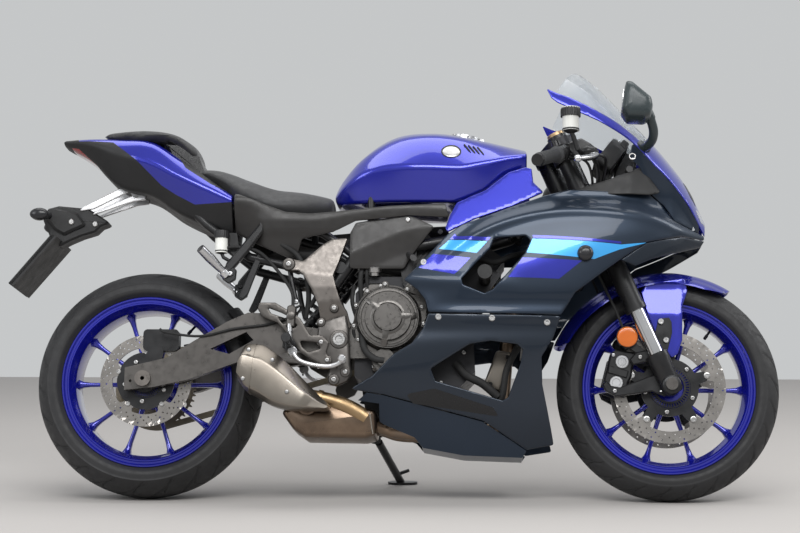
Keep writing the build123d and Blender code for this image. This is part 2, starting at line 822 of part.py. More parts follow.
with BuildPart() as engine_covers:
    # clutch cover: dished rim, stepped face and a raised hub
    with BuildSketch(wheel_plane(CLUTCH_CENTRE, ENGINE_HALF)):
        Circle(CLUTCH_RADIUS)
        with Locations((-30, -60)):
            RectangleRounded(150, 90, 12)
        with Locations((50, 30)):
            RectangleRounded(100, 70, 12)
    extrude(amount=16)
    with BuildSketch(wheel_plane(CLUTCH_CENTRE, ENGINE_HALF + 16)):
        Circle(CLUTCH_RADIUS)
    extrude(amount=24, taper=8)
    with BuildSketch(wheel_plane(CLUTCH_CENTRE, ENGINE_HALF + 40)):
        Circle(CLUTCH_RADIUS - 22)
    extrude(amount=10, taper=10)
    with BuildSketch(wheel_plane(CLUTCH_CENTRE, ENGINE_HALF + 50)):
        Circle(36)
    extrude(amount=6)
    # water pump
    with BuildSketch(wheel_plane(WATER_PUMP, ENGINE_HALF + 16)):
        Circle(30)
    extrude(amount=14)
    with BuildSketch(wheel_plane(WATER_PUMP, ENGINE_HALF + 30)):
        Circle(18)
    extrude(amount=12)
    # generator cover on the left
    with BuildSketch(wheel_plane((765.0, 420.0), -ENGINE_HALF)):
        Circle(78)
    extrude(amount=-30, taper=6)
    with BuildSketch(wheel_plane((765.0, 420.0), -ENGINE_HALF - 30)):
        Circle(52)
    extrude(amount=-10, taper=8)

with BuildPart() as exhaust_pipes:
    # header pipes, from the front of the head down and back under the sump
    for place in (-46.0, 46.0):
        start = up_cylinders(136, CYLINDER_STACK[1][2] / 2)
        add(
            pipe(
                (
                    (start[0], place, start[1]),
                    (start[0] + 50, place, start[1] - 34),
                    (968, place, 400),
                    (930, place, 176),
                    (700, place * 0.75, 176),
                    (600, -30 + place * 0.6, 200),
                ),
                19,
                40,
            )
        )
    # collector box and its outlet into the muffler
    add(rod((438, -120, 238), (438, -150, 238), 20))
    with BuildSketch(Plane.XZ.offset(-28)):
        with BuildLine():
            Polyline(
                (620, 160),
                (620, 225),
                (480, 262),
                (420, 250),
                (366, 222),
                (400, 176),
                (432, 154),
                (590, 152),
                close=True,
            )
        make_face()
    extrude(amount=158)
    add(engine.part, mode=Mode.SUBTRACT)

with BuildPart() as muffler:
    with BuildSketch(right(140)):
        with BuildLine():
            Polyline(
                (273, 388), (318, 391), (378, 358), (500, 228), (372, 220), (278, 272), (256, 305), close=True
            )
        make_face()
    extrude(amount=74)
    chamfer(muffler.faces().sort_by(Axis.Y)[0].edges(), length=14)
    add(exhaust_pipes.part, mode=Mode.SUBTRACT)


# ---------------------------------------------------------------- rear suspension
SWING_OUTLINE = (
    (-50.0, 276.0),
    (-50.0, 336.0),
    (60.0, 362.0),
    (138.0, 411.0),
    (221.0, 460.0),
    (275.0, 484.0),
    (330.0, 482.0),
    (430.0, 446.0),
    (516.0, 434.0),
    (540.0, 410.0),
    (516.0, 386.0),
    (400.0, 380.0),
    (259.0, 354.0),
    (119.0, 304.0),
    (27.0, 284.0),
)
SWING_WINDOW = ((176.0, 386.0), (272.0, 432.0), (292.0, 410.0), (228.0, 373.0))
CROSS_MEMBER = (372.0, 402.0)
AXLE_COLLAR = 19.0
AXLE_NUT = 21.0
BOBBIN_PLACE = (-34.0, 300.0)  # threaded hole for a stand bobbin, behind the axle in each arm
BOBBIN_HOLE = 4.0
BOBBIN_DEPTH = 16.0

with BuildPart() as rear_axle:
    with BuildSketch(axle_plane(REAR_AXLE)):
        with BuildLine():
            Polyline(
                (-ARM_INSIDE - ARM_THICKNESS - 14, AXLE_BORE),
                (-ARM_INSIDE - ARM_THICKNESS - 14, AXLE_NUT),
                (-ARM_INSIDE - ARM_THICKNESS, AXLE_NUT),
                (-ARM_INSIDE - ARM_THICKNESS, REAR_AXLE_RADIUS),
                (-ARM_INSIDE, REAR_AXLE_RADIUS),
                (-ARM_INSIDE, AXLE_COLLAR),
                (-REAR_HUB_HALF - 0.5, AXLE_COLLAR),
                (-REAR_HUB_HALF - 0.5, REAR_AXLE_RADIUS),
                (REAR_HUB_HALF + 0.5, REAR_AXLE_RADIUS),
                (REAR_HUB_HALF + 0.5, AXLE_COLLAR),
                (ARM_INSIDE, AXLE_COLLAR),
                (ARM_INSIDE, REAR_AXLE_RADIUS),
                (ARM_INSIDE + ARM_THICKNESS, REAR_AXLE_RADIUS),
                (ARM_INSIDE + ARM_THICKNESS, AXLE_NUT),
                (ARM_INSIDE + ARM_THICKNESS + 14, AXLE_NUT),
                (ARM_INSIDE + ARM_THICKNESS + 14, AXLE_BORE),
                close=True,
            )
        make_face()
    revolve(axis=axle_line(REAR_AXLE))

with BuildPart() as swingarm:
    add(plate(SWING_OUTLINE, ARM_INSIDE, ARM_THICKNESS))
    add(plate(SWING_WINDOW, ARM_INSIDE, ARM_THICKNESS), mode=Mode.SUBTRACT)
    with BuildSketch(wheel_plane(REAR_AXLE, ARM_INSIDE)):
        Circle(REAR_AXLE_RADIUS)
    extrude(amount=ARM_THICKNESS, mode=Mode.SUBTRACT)
    with BuildSketch(right(ARM_INSIDE + ARM_THICKNESS)):
        with Locations(BOBBIN_PLACE):
            Circle(BOBBIN_HOLE)
    extrude(amount=-BOBBIN_DEPTH, mode=Mode.SUBTRACT)
    mirror(about=Plane.XZ)
    add(rod((PIVOT[0], -BRACKET_INSIDE, PIVOT[1]), (PIVOT[0], BRACKET_INSIDE, PIVOT[1]), PIVOT_TUBE_RADIUS))
    with BuildSketch(right(-ARM_INSIDE)):
        with Locations(CROSS_MEMBER):
            RectangleRounded(70, 42, 10)
    extrude(amount=2 * ARM_INSIDE)
    # chain guide over the pivot tube, up to the inside of the upper run
    with BuildSketch(Plane.XZ.offset(-CHAIN_PLACE - CHAIN_INSIDE / 2 - LINK_THICKNESS)):
        with Locations((PIVOT[0] - 10, PIVOT[1] + 30)):
            Rectangle(60, 50)
        add(chain_loop(-LINK_HEIGHT / 2), mode=Mode.INTERSECT)
    extrude(amount=CHAIN_INSIDE + 2 * LINK_THICKNESS)

with BuildPart() as rear_brake:
    # caliper over the disc, its carrier plate between the collar and the arm
    reach = REAR_DISC_RADIUS + DISC_ROOM
    with BuildSketch(wheel_plane(REAR_AXLE, REAR_DISC_PLACE - DISC_THICKNESS / 2 - DISC_ROOM - 13)):
        with Locations((40, 108)):
            RectangleRounded(96, 58, 12)
    extrude(amount=ARM_INSIDE - 0.5 - (REAR_DISC_PLACE - DISC_THICKNESS / 2 - DISC_ROOM - 13))
    with BuildSketch(wheel_plane(REAR_AXLE, REAR_DISC_PLACE - DISC_THICKNESS / 2 - DISC_ROOM)):
        Circle(reach)
    extrude(amount=DISC_THICKNESS + 2 * DISC_ROOM, mode=Mode.SUBTRACT)
    with BuildSketch(wheel_plane(REAR_AXLE, REAR_DISC_PLACE + DISC_THICKNESS / 2 + DISC_ROOM)):
        Circle(AXLE_COLLAR + 14)
        with Locations((30, 84)):
            Circle(18)
        make_hull()
        Circle(AXLE_COLLAR, mode=Mode.SUBTRACT)
    extrude(amount=ARM_INSIDE - (REAR_DISC_PLACE + DISC_THICKNESS / 2 + DISC_ROOM))


# ---------------------------------------------------------------- frame
HEAD_FOOT = LOWER_YOKE + YOKE_THICKNESS / 2 + YOKE_GAP
HEAD_TOP = UPPER_YOKE - YOKE_THICKNESS / 2 - YOKE_GAP
ENGINE_BOSSES = ((842.0, 540.0), (700.0, 560.0))
UPPER_BOSS = (520.0, 606.0)  # frame bosses against the pivot brackets
LOWER_BOSS = (388.0, 611.0)
BOSS_RADIUS = 16.0
STAY_STATION = 1290.0
STAY_HEIGHT = 868.0
COCKPIT_INSIDE = 165.0  # inner face of the cockpit side panels
COVER_INSIDE = 138.0  # inner face of the black side covers
COVER_BOSS = (640.0, 655.0)
BRACKET_OUTLINE = (
    (539.0, 682.0),
    (535.0, 661.0),
    (496.0, 580.0),
    (520.0, 503.0),
    (545.0, 470.0),
    (553.0, 420.0),
    (552.0, 320.0),
    (534.0, 284.0),
    (504.0, 282.0),
    (486.0, 302.0),
    (480.0, 345.0),
    (455.0, 400.0),
    (472.0, 470.0),
    (468.0, 516.0),
    (450.0, 560.0),
    (421.0, 594.0),
    (388.0, 592.0),
    (374.0, 612.0),
    (388.0, 632.0),
    (424.0, 640.0),
    (482.0, 692.0),
)

with BuildPart() as panel_rests:
    # rests that end on the inside of the side panels
    add(rod((1000, -60, 742), (1000, -300, 742), 9))
    add(rod((690, -100, 655), (760, -300, 575), 8))
    add(fairing_inside, mode=Mode.INTERSECT)

with BuildPart() as main_frame:
    # rails from the head tube back to the pivot brackets
    add(
        pipe(
            (
                (1112, -26, 820),
                (980, -RAIL_PLACE, 735),
                (800, -RAIL_PLACE, 680),
                (560, -RAIL_PLACE, 640),
                (505, -RAIL_PLACE, 560),
            ),
            RAIL_RADIUS,
            50,
        )
    )
    # engine hanger plates and their bosses
    for (x, z), (low, high) in ((ENGINE_BOSSES[0], (775, 835)), (ENGINE_BOSSES[1], (672, 728))):
        add(
            plate(
                ((low, 674), (high, 688), (x + 13, z + 2), (x, z - 13), (x - 13, z + 2)),
                RAIL_PLACE - 6,
                12,
            )
        )
        add(rod((x, -RAIL_PLACE - 10, z), (x, -60, z), 10))
    # boss against the pivot bracket, and rests for the side cover
    x, z = UPPER_BOSS
    add(rod((x, -BRACKET_INSIDE, z), (x, -RAIL_PLACE, z), BOSS_RADIUS))
    x, z = COVER_BOSS
    add(rod((x, -COVER_INSIDE, z), (x, -RAIL_PLACE, z), 9))
    # tank rests
    for x, low in ((600, 640), (900, 700)):
        add(rod((x, -RAIL_PLACE + 4, low), (x, -RAIL_PLACE + 4, 840), 10))
    # rests that are cut to the inside of the side panels
    add(panel_rests.part)
    mirror(about=Plane.XZ)
    add(fuel_tank.part, mode=Mode.SUBTRACT)
    # cross tubes
    add(rod((560, -RAIL_PLACE, 640), (560, RAIL_PLACE, 640), 14))
    add(rod((850, -RAIL_PLACE, 690), (850, RAIL_PLACE, 690), 14))
    # head tube
    with BuildSketch(fork_plane(HEAD_FOOT)):
        Circle(HEAD_TUBE_RADIUS)
    extrude(amount=HEAD_TOP - HEAD_FOOT)
    with BuildSketch(fork_plane(HEAD_FOOT)):
        Circle(STEM_RADIUS + STEM_PLAY)
    extrude(amount=HEAD_TOP - HEAD_FOOT, mode=Mode.SUBTRACT)
    add(engine.part, mode=Mode.SUBTRACT)

with BuildPart() as seat_frame:
    # upper rails under the seats, and the struts that hold them up
    add(
        pipe(
            (
                (560, -RAIL_PLACE + 8, 642),
                (470, -RAIL_PLACE + 8, 705),
                (300, -100, 752),
                (120, -84, 800),
                (-60, -62, 872),
            ),
            SEAT_RAIL_RADIUS,
            40,
        )
    )
    add(
        pipe(
            (
                (520, -RAIL_PLACE, 600),
                (388, -RAIL_PLACE, 611),
                (272, -104, 640),
                (150, -88, 735),
                (60, -76, 822),
            ),
            SEAT_RAIL_RADIUS,
            30,
        )
    )
    # boss against the pivot bracket, and the seat's rests
    x, z = LOWER_BOSS
    add(rod((x, -BRACKET_INSIDE, z), (x, -RAIL_PLACE, z), BOSS_RADIUS))
    add(rod((220, -92, 772), (220, -92, 850), 10))
    add(rod((430, -98, 715), (430, -98, 805), 10))
    mirror(about=Plane.XZ)
    add(rod((300, -100, 752), (300, 100, 752), 10))
    add(rider_seat.part, mode=Mode.SUBTRACT)
    add(main_frame.part, mode=Mode.SUBTRACT)

with BuildPart() as nose_stay:
    # ahead of the head tube, carrying the nose, instruments and mirrors
    stay = on_leg((HEAD_FOOT + HEAD_TOP) / 2, -FORK_OFFSET)
    add(pipe(((stay[0], 0, stay[1]), (1250, 0, STAY_HEIGHT), (1350, 0, STAY_HEIGHT), (1404, 0, 770)), 11, 30))
    add(rod((STAY_STATION, -COCKPIT_INSIDE, STAY_HEIGHT), (STAY_STATION, COCKPIT_INSIDE, STAY_HEIGHT), 9))
    with BuildSketch(fork_plane(HEAD_FOOT)):
        Circle(HEAD_TUBE_RADIUS)
    extrude(amount=HEAD_TOP - HEAD_FOOT, mode=Mode.SUBTRACT)

# the frame as one, to cut its neighbours round it
with BuildPart() as frame:
    add(main_frame.part)
    add(seat_frame.part)
    add(nose_stay.part)


# ---------------------------------------------------------------- tail
tail_form = body_of(TAIL, ruled=True)

with BuildPart() as tail_cowl:
    add(tail_form)
    add(prism(TAIL_BLUE, -300, 300), mode=Mode.INTERSECT)
    add(pillion_seat.part, mode=Mode.SUBTRACT)
    add(rider_seat.part, mode=Mode.SUBTRACT)
    add(frame.part, mode=Mode.SUBTRACT)

with BuildPart() as tail_lamp:
    add(tail_form)
    add(prism(TAIL_LAMP, -300, 300), mode=Mode.INTERSECT)

with BuildPart() as undertail:
    add(tail_form)
    add(tail_cowl.part, mode=Mode.SUBTRACT)
    add(tail_lamp.part, mode=Mode.SUBTRACT)
    add(pillion_seat.part, mode=Mode.SUBTRACT)
    add(rider_seat.part, mode=Mode.SUBTRACT)
    add(frame.part, mode=Mode.SUBTRACT)


# ---------------------------------------------------------------- brackets, footrests and covers
BRACKET_FACE = BRACKET_INSIDE + BRACKET_THICKNESS
BRACKET_BOLTS = ((506.0, 495.0), (471.0, 457.0), (504.0, 302.0), (535.0, 323.0))

with BuildPart() as pivot_brackets:
    add(plate(BRACKET_OUTLINE, BRACKET_INSIDE, BRACKET_THICKNESS))
    chamfer(pivot_brackets.faces().sort_by(Axis.Y)[0].edges().filter_by(GeomType.LINE), length=4)
    with BuildSketch(right(BRACKET_FACE)):
        with Locations(PIVOT):
            Circle(25)
            Circle(9, mode=Mode.SUBTRACT)
        with Locations(*BRACKET_BOLTS):
            Circle(11)
    extrude(amount=4)
    with BuildSketch(right(BRACKET_INSIDE)):
        with Locations(PIVOT):
            Circle(9)
    extrude(amount=BRACKET_THICKNESS + 4, mode=Mode.SUBTRACT)
    mirror(about=Plane.XZ)

with BuildPart() as footrests:
    # rider: hanger plate with its heel guard, and the peg
    add(
        plate(
            (
                (490, 371),
                (502, 353),
                (490, 336),
                (430, 346),
                (372, 368),
                (358, 400),
                (366, 424),
                (340, 462),
                (316, 468),
                (300, 490),
                (312, 512),
                (362, 501),
                (428, 468),
                (418, 424),
                (472, 421),
                (486, 408),
            ),
            BRACKET_FACE,
            9,
        )
    )
    add(plate(((400, 380), (462, 372), (474, 384), (420, 400)), BRACKET_FACE, 9), mode=Mode.SUBTRACT)
    add(rod((390, -BRACKET_FACE, 397), (390, -BRACKET_FACE - 96, 400), 12))
    # passenger: hanger from the seat rails and the folded peg
    add(plate(((292, 764), (308, 764), (318, 716), (234, 600), (240, 562), (206, 560), (192, 592)), 124, 8))
    add(rod((300, -124, 752), (300, -98, 752), 9))
    add(rod((262, -124, 650), (262, -98, 650), 9))
    add(rod((212, -128, 590), (156, -196, 640), 11))
    mirror(about=Plane.XZ)
    add(frame.part, mode=Mode.SUBTRACT)

with BuildPart() as foot_controls:
    # brake pedal on the right
    add(pipe(((400, -172, 372), (430, -172, 345), (490, -172, 334), (532, -176, 352)), 6, 24))
    add(rod((532, -172, 352), (532, -206, 352), 8))
    add(rod((400, -BRACKET_FACE - 9, 372), (400, -176, 372), 9))
    # gear lever on the left
    add(pipe(((400, 172, 372), (430, 172, 350), (500, 172, 352), (545, 176, 362)), 6, 24))
    add(rod((545, 172, 362), (545, 206, 362), 8))
    add(rod((400, BRACKET_FACE + 9, 372), (400, 176, 372), 9))

with BuildPart() as side_covers:
    add(
        plate(
            (
                (232, 702),
                (440, 694),
                (520, 722),
                (700, 745),
                (812, 740),
                (800, 783),
                (500, 784),
                (372, 776),
                (325, 782),
                (250, 804),
                (232, 800),
            ),
            COVER_INSIDE + 4,
            4,
        )
    )
    add(
        plate(
            ((545, 700), (560, 728), (700, 752), (772, 716), (712, 640), (690, 602), (545, 602)),
            COVER_INSIDE,
            4,
        )
    )
    add(rod((300, -COVER_INSIDE - 4, 745), (300, -98, 745), 8))
    mirror(about=Plane.XZ)
    add(frame.part, mode=Mode.SUBTRACT)
    add(footrests.part, mode=Mode.SUBTRACT)
    add(fuel_tank.part, mode=Mode.SUBTRACT)
    add(rider_seat.part, mode=Mode.SUBTRACT)
    add(tail_form, mode=Mode.SUBTRACT)

with BuildPart() as tank_side_panels:
    add(
        plate(
            (
                (824, 778),
                (962, 832),
                (990, 874),
                (1014, 878),
                (1032, 830),
                (1062, 800),
                (975, 762),
                (800, 694),
                (806, 742),
            ),
            148,
            6,
        )
    )
    add(rod((880, -148, 745), (880, -100, 708), 8))
    mirror(about=Plane.XZ)
    add(fuel_tank.part, mode=Mode.SUBTRACT)
    add(frame.part, mode=Mode.SUBTRACT)
    add(side_covers.part, mode=Mode.SUBTRACT)

with BuildPart() as rear_shock:
    foot, top = Vector(382, 0, 416), Vector(550, 0, 630)
    add(rod(tuple(foot), tuple(top), 12))
    reach = top - foot
    for step in range(9):
        low = foot + reach * (0.2 + 0.075 * step)
        add(rod(tuple(low), tuple(low + reach * 0.036), 25))
    add(rod(tuple(foot + reach * 0.86), tuple(foot + reach * 0.93), 27))
    add(frame.part, mode=Mode.SUBTRACT)
    add(swingarm.part, mode=Mode.SUBTRACT)

with BuildPart() as plate_holder:
    with BuildSketch(right(-28)):
        with BuildLine():
            Polyline(
                (-300, 792),
                (-186, 790),
                (-122, 750),
                (-170, 724),
                (-230, 704),
                (-262, 684),
                (-290, 706),
                (-312, 760),
                close=True,
            )
        make_face()
    extrude(amount=56)
    with BuildSketch(right(-95)):
        with BuildLine():
            Polyline((-262, 700), (-374, 562), (-382, 568), (-276, 708), close=True)
        make_face()
    extrude(amount=190)
    for place in (-32, 24):
        add(plate(((-208, 784), (-196, 796), (-60, 866), (-24, 856), (-30, 816), (-160, 772)), place, 8))
    add(undertail.part, mode=Mode.SUBTRACT)
    add(tail_lamp.part, mode=Mode.SUBTRACT)
    add(frame.part, mode=Mode.SUBTRACT)

with BuildPart() as rear_hugger:
    # inner mudguard between the tyre and the cross member
    add(guard(REAR_AXLE, REAR_RADIUS + 11, 77, 29, 3, 10, 42))
    add(rod((310, 0, 412), (345, 0, 412), 12))
    # chain guard over the upper run, against the left arm
    with BuildSketch(Plane.XZ.offset(-ARM_INSIDE + 10)):
        with BuildLine():
            Polyline(
                (70, 428),
                (70, 432),
                (130, 444),
                (330, 458),
                (400, 462),
                (400, 458),
                (330, 454),
                (130, 439),
                close=True,
            )
        make_face()
    extrude(amount=-10)
    add(swingarm.part, mode=Mode.SUBTRACT)

with BuildPart() as indicators:
    # rear, on stalks beside the plate holder
    add(rod((-300, -20, 770), (-300, -74, 764), 6))
    with BuildSketch(right(72)):
        with Locations((-308, 762)):
            Ellipse(26, 14)
    extrude(amount=26)
    with BuildSketch(right(98)):
        with Locations((-306, 762)):
            Ellipse(20, 10)
    extrude(amount=6)
    # front, on the side fairings
    with BuildSketch(right(215)):
        with Locations((1168, 626)):
            Ellipse(22, 16)
    extrude(amount=28)
    with BuildSketch(right(243)):
        with Locations((1168, 626)):
            Ellipse(16, 11)
    extrude(amount=5)
    mirror(about=Plane.XZ)
    add(plate_holder.part, mode=Mode.SUBTRACT)
    add(fairing_form, mode=Mode.SUBTRACT)

with BuildPart() as radiator:
    with BuildSketch(right(-165)):
        with BuildLine():
            Polyline((1002, 400), (1030, 394), (1072, 626), (1044, 632), close=True)
        make_face()
    extrude(amount=330)
    with BuildSketch(right(-140)):
        with BuildLine():
            Polyline((1000, 424), (1046, 416), (1080, 604), (1040, 610), close=True)
        make_face()
        with BuildLine():
            Polyline((1004, 408), (1030, 402), (1070, 618), (1046, 624), close=True)
        make_face(mode=Mode.SUBTRACT)
    extrude(amount=280, mode=Mode.SUBTRACT)
    # rests for the side panels and hangers up to the frame rails
    for height in (430, 560):
        add(
            rod((1022 + (height - 430) * 0.18, -160, height), (1022 + (height - 430) * 0.18, -300, height), 8)
        )
    add(fairing_inside, mode=Mode.INTERSECT)
    add(rod((1056, -90, 620), (1026, -90, 764), 7))
    mirror(about=Plane.XZ)
    add(frame.part, mode=Mode.SUBTRACT)

with BuildPart() as frame_sliders:
    slider = up_cylinders(138, 46)
    add(rod((slider[0], -CYLINDER_STACK[1][3], slider[1]), (slider[0], -224, slider[1]), 15))
    add(rod((slider[0], -190, slider[1]), (slider[0], -226, slider[1]), 19))
    mirror(about=Plane.XZ)
    add(engine.part, mode=Mode.SUBTRACT)
    add(frame.part, mode=Mode.SUBTRACT)

with BuildPart() as instrument:
    with BuildSketch(right(-74)):
        with BuildLine():
            Polyline((1232, 900), (1252, 890), (1298, 962), (1282, 974), close=True)
        make_face()
    extrude(amount=148)
    fillet(instrument.edges().filter_by(Axis.Y), radius=5)
    with BuildSketch(right(-18)):
        with BuildLine():
            Polyline((1256, 868), (1280, 868), (1276, 925), (1264, 915), close=True)
        make_face()
    extrude(amount=36)
    add(frame.part, mode=Mode.SUBTRACT)

with BuildPart() as headlamp:
    # projector in the middle of the nose
    add(rod((1404, 0, 762), (1470, 0, 748), 36))
    add(rod((1470, 0, 748), (1476, 0, 747), 31))
    # position lamps in the slits each side
    for place in (60, -110):
        add(plate(((1402, 806), (1400, 868), (1452, 800), (1484, 722), (1466, 712), (1438, 742)), place, 50))
    add(rod((1430, -62, 770), (1430, 62, 770), 8))
    add(canopy_shell.part, mode=Mode.SUBTRACT)
    add(fairing_shell.part, mode=Mode.SUBTRACT)
    add(frame.part, mode=Mode.SUBTRACT)

with BuildPart() as chin:
    add(fairing_shell.part)
    add(prism(CHIN_OUTLINE), mode=Mode.INTERSECT)

with BuildPart() as nose_panels:
    # under the nose, and beside the instruments, inside the screen's edge
    add(
        plate(
            (
                (1190, 800),
                (1345, 800),
                (1400, 790),
                (1404, 838),
                (1372, 868),
                (1330, 884),
                (1262, 884),
                (1230, 850),
            ),
            COCKPIT_INSIDE,
            22,
        )
    )
    add(canopy_shell.part, mode=Mode.SUBTRACT)
    add(upper_fairings.part, mode=Mode.SUBTRACT)
    add(prism(((1196, 800), (1500, 700), (1500, 1100), (1196, 1100)), 0, 300), mode=Mode.INTERSECT)
    add(chin.part)
    mirror(about=Plane.XZ)

with BuildPart() as mirrors:
    with BuildSketch(right(236)):
        with BuildLine():
            Polyline(
                (1280, 1052),
                (1338, 1008),
                (1340, 985),
                (1326, 958),
                (1272, 958),
                (1262, 978),
                (1266, 1018),
                close=True,
            )
        make_face()
    extrude(amount=110, taper=4)
    add(pipe(((1330, -160, 930), (1338, -212, 938), (1332, -262, 968)), 9, 12))
    mirror(about=Plane.XZ)
    add(canopy_shell.part, mode=Mode.SUBTRACT)

with BuildPart() as rear_reservoir:
    add(rod((198, -122, 648), (198, -122, 694), 17))
    add(rod((198, -122, 694), (198, -122, 707), 19))
    add(rod((198, -122, 668), (198, -90, 694), 5))
    add(frame.part, mode=Mode.SUBTRACT)


# ---------------------------------------------------------------- fork and steering
def on_fork(low, high, radius, ahead=0.0):
    """Round length along the right fork leg, between two heights from the axle."""
    with BuildPart() as length:
        with BuildSketch(fork_plane(low)):
            with Locations((FORK_OFFSET + ahead, -FORK_SPACING)):
                Circle(radius)
        extrude(amount=high - low)
    return length.part


LEG_INSIDE = FORK_SPACING - LEG_RADIUS - 1
LEG_OUTSIDE = FORK_SPACING + LEG_RADIUS + 1
CLAMP_LOW = CLAMP_PLACE - CLAMP_HEIGHT / 2
CLAMP_HIGH = CLAMP_PLACE + CLAMP_HEIGHT / 2
RESERVOIR = (1130.0, -266.0, 946.0)  # foot of the front brake fluid cup
BAR_ROOT = (on_leg(BAR_HEIGHT, BAR_OFFSET)[0], -FORK_SPACING, on_leg(BAR_HEIGHT, BAR_OFFSET)[1])
BAR_RUN = Vector(*BAR_ROOT) - Vector(*BAR_END)


def on_bar(distance, ahead=0.0, up=0.0):
    """Place on the right handlebar at this distance in from its end, moved ahead and up."""
    place = Vector(*BAR_END) + BAR_RUN.normalized() * distance
    return (place.X + ahead, place.Y, place.Z + up)


with BuildPart() as fork_tubes:
    add(on_fork(TUBE_FOOT, FORK_TOP, TUBE_RADIUS))
    add(on_fork(TUBE_FOOT, TUBE_FOOT + 14, TUBE_RADIUS + 3))
    add(on_fork(FORK_TOP, FORK_TOP + 7, TUBE_RADIUS - 7))
    add(on_fork(TUBE_FOOT, TUBE_FOOT + 190, STANCHION_RADIUS), mode=Mode.SUBTRACT)
    mirror(about=Plane.XZ)

with BuildPart() as fork_legs:
    add(on_fork(LEG_TOP, TUBE_FOOT + 170, STANCHION_RADIUS))
    add(on_fork(-24, LEG_TOP, LEG_RADIUS))
    add(rod((FRONT_AXLE[0], -LEG_INSIDE, FRONT_AXLE[1]), (FRONT_AXLE[0], -LEG_OUTSIDE, FRONT_AXLE[1]), 25))
    # lugs for the caliper and the mudguard
    add(plate(((1378, 288), (1366, 372), (1320, 378), (1268, 366), (1256, 300), (1290, 288)), 84, 12))
    add(plate(((1345, 392), (1366, 480), (1398, 482), (1404, 440), (1385, 370), (1370, 330)), 75, 9))
    with BuildSketch(wheel_plane(FRONT_AXLE, 70)):
        Circle(FRONT_AXLE_RADIUS)
    extrude(amount=80, mode=Mode.SUBTRACT)
    mirror(about=Plane.XZ)

with BuildPart() as front_axle:
    with BuildSketch(axle_plane(FRONT_AXLE)):
        with BuildLine():
            Polyline(
                (0, 0),
                (LEG_OUTSIDE + 8, 0),
                (LEG_OUTSIDE + 8, 16),
                (LEG_OUTSIDE, 16),
                (LEG_OUTSIDE, FRONT_AXLE_RADIUS),
                (LEG_INSIDE, FRONT_AXLE_RADIUS),
                (LEG_INSIDE, 16),
                (FRONT_HUB_HALF + 0.5, 16),
                (FRONT_HUB_HALF + 0.5, FRONT_AXLE_RADIUS),
                (0, FRONT_AXLE_RADIUS),
                close=True,
            )
        make_face()
    revolve(axis=axle_line(FRONT_AXLE))
    mirror(about=Plane.XZ)

with BuildPart() as yokes:
    for middle in (LOWER_YOKE, UPPER_YOKE):
        with BuildSketch(fork_plane(middle - YOKE_THICKNESS / 2)):
            with Locations((FORK_OFFSET, FORK_SPACING), (FORK_OFFSET, -FORK_SPACING)):
                Circle(TUBE_RADIUS + 12)
            Circle(STEM_RADIUS + 17)
            make_hull()
            with Locations((FORK_OFFSET, FORK_SPACING), (FORK_OFFSET, -FORK_SPACING)):
                Circle(TUBE_RADIUS, mode=Mode.SUBTRACT)
            with Locations((FORK_OFFSET - 4, 46), (FORK_OFFSET - 4, -46)):
                SlotOverall(34, 22, rotation=90, mode=Mode.SUBTRACT)
        extrude(amount=YOKE_THICKNESS)
    with BuildSketch(fork_plane(LOWER_YOKE - YOKE_THICKNESS / 2)):
        Circle(STEM_RADIUS)
    extrude(amount=UPPER_YOKE - LOWER_YOKE + YOKE_THICKNESS + 4)
    with BuildSketch(fork_plane(UPPER_YOKE + YOKE_THICKNESS / 2)):
        RegularPolygon(19, 6)
    extrude(amount=12)
    with BuildSketch(fork_plane(LOWER_YOKE - YOKE_THICKNESS / 2)):
        Circle(STEM_BORE)
    extrude(amount=STEM_BORE_DEPTH, mode=Mode.SUBTRACT)

with BuildPart() as handlebars:
    add(on_fork(CLAMP_LOW, CLAMP_HIGH, CLAMP_RADIUS))
    add(rod(BAR_ROOT, on_bar(BAR_RUN.length - 46), BAR_RADIUS + 6))
    add(on_fork(CLAMP_HIGH, CLAMP_HIGH + 40, CLAMP_RADIUS + 30), mode=Mode.SUBTRACT)
    add(rod(BAR_ROOT, BAR_END, BAR_RADIUS))
    add(rod(on_bar(0), on_bar(13), GRIP_RADIUS - 1))
    add(on_fork(CLAMP_HIGH + 1.5, CLAMP_HIGH + 40, CLAMP_RADIUS + 30), mode=Mode.SUBTRACT)
    add(on_fork(CLAMP_LOW - 60, CLAMP_HIGH + 60, TUBE_RADIUS), mode=Mode.SUBTRACT)
    mirror(about=Plane.XZ)

with BuildPart() as grips:
    add(rod(on_bar(13), on_bar(13 + GRIP_LENGTH), GRIP_RADIUS))
    add(rod(on_bar(13 + GRIP_LENGTH - 6), on_bar(13 + GRIP_LENGTH), GRIP_RADIUS + 5))
    add(rod(on_bar(13), on_bar(13 + GRIP_LENGTH), BAR_RADIUS), mode=Mode.SUBTRACT)
    mirror(about=Plane.XZ)

with BuildPart() as switch_housings:
    add(rod(on_bar(15 + GRIP_LENGTH), on_bar(15 + GRIP_LENGTH + 38), 21))
    add(rod(on_bar(22 + GRIP_LENGTH, 0, 10), on_bar(22 + GRIP_LENGTH, -8, 34), 12))
    add(rod(on_bar(13 + GRIP_LENGTH), on_bar(60 + GRIP_LENGTH), BAR_RADIUS), mode=Mode.SUBTRACT)
    mirror(about=Plane.XZ)

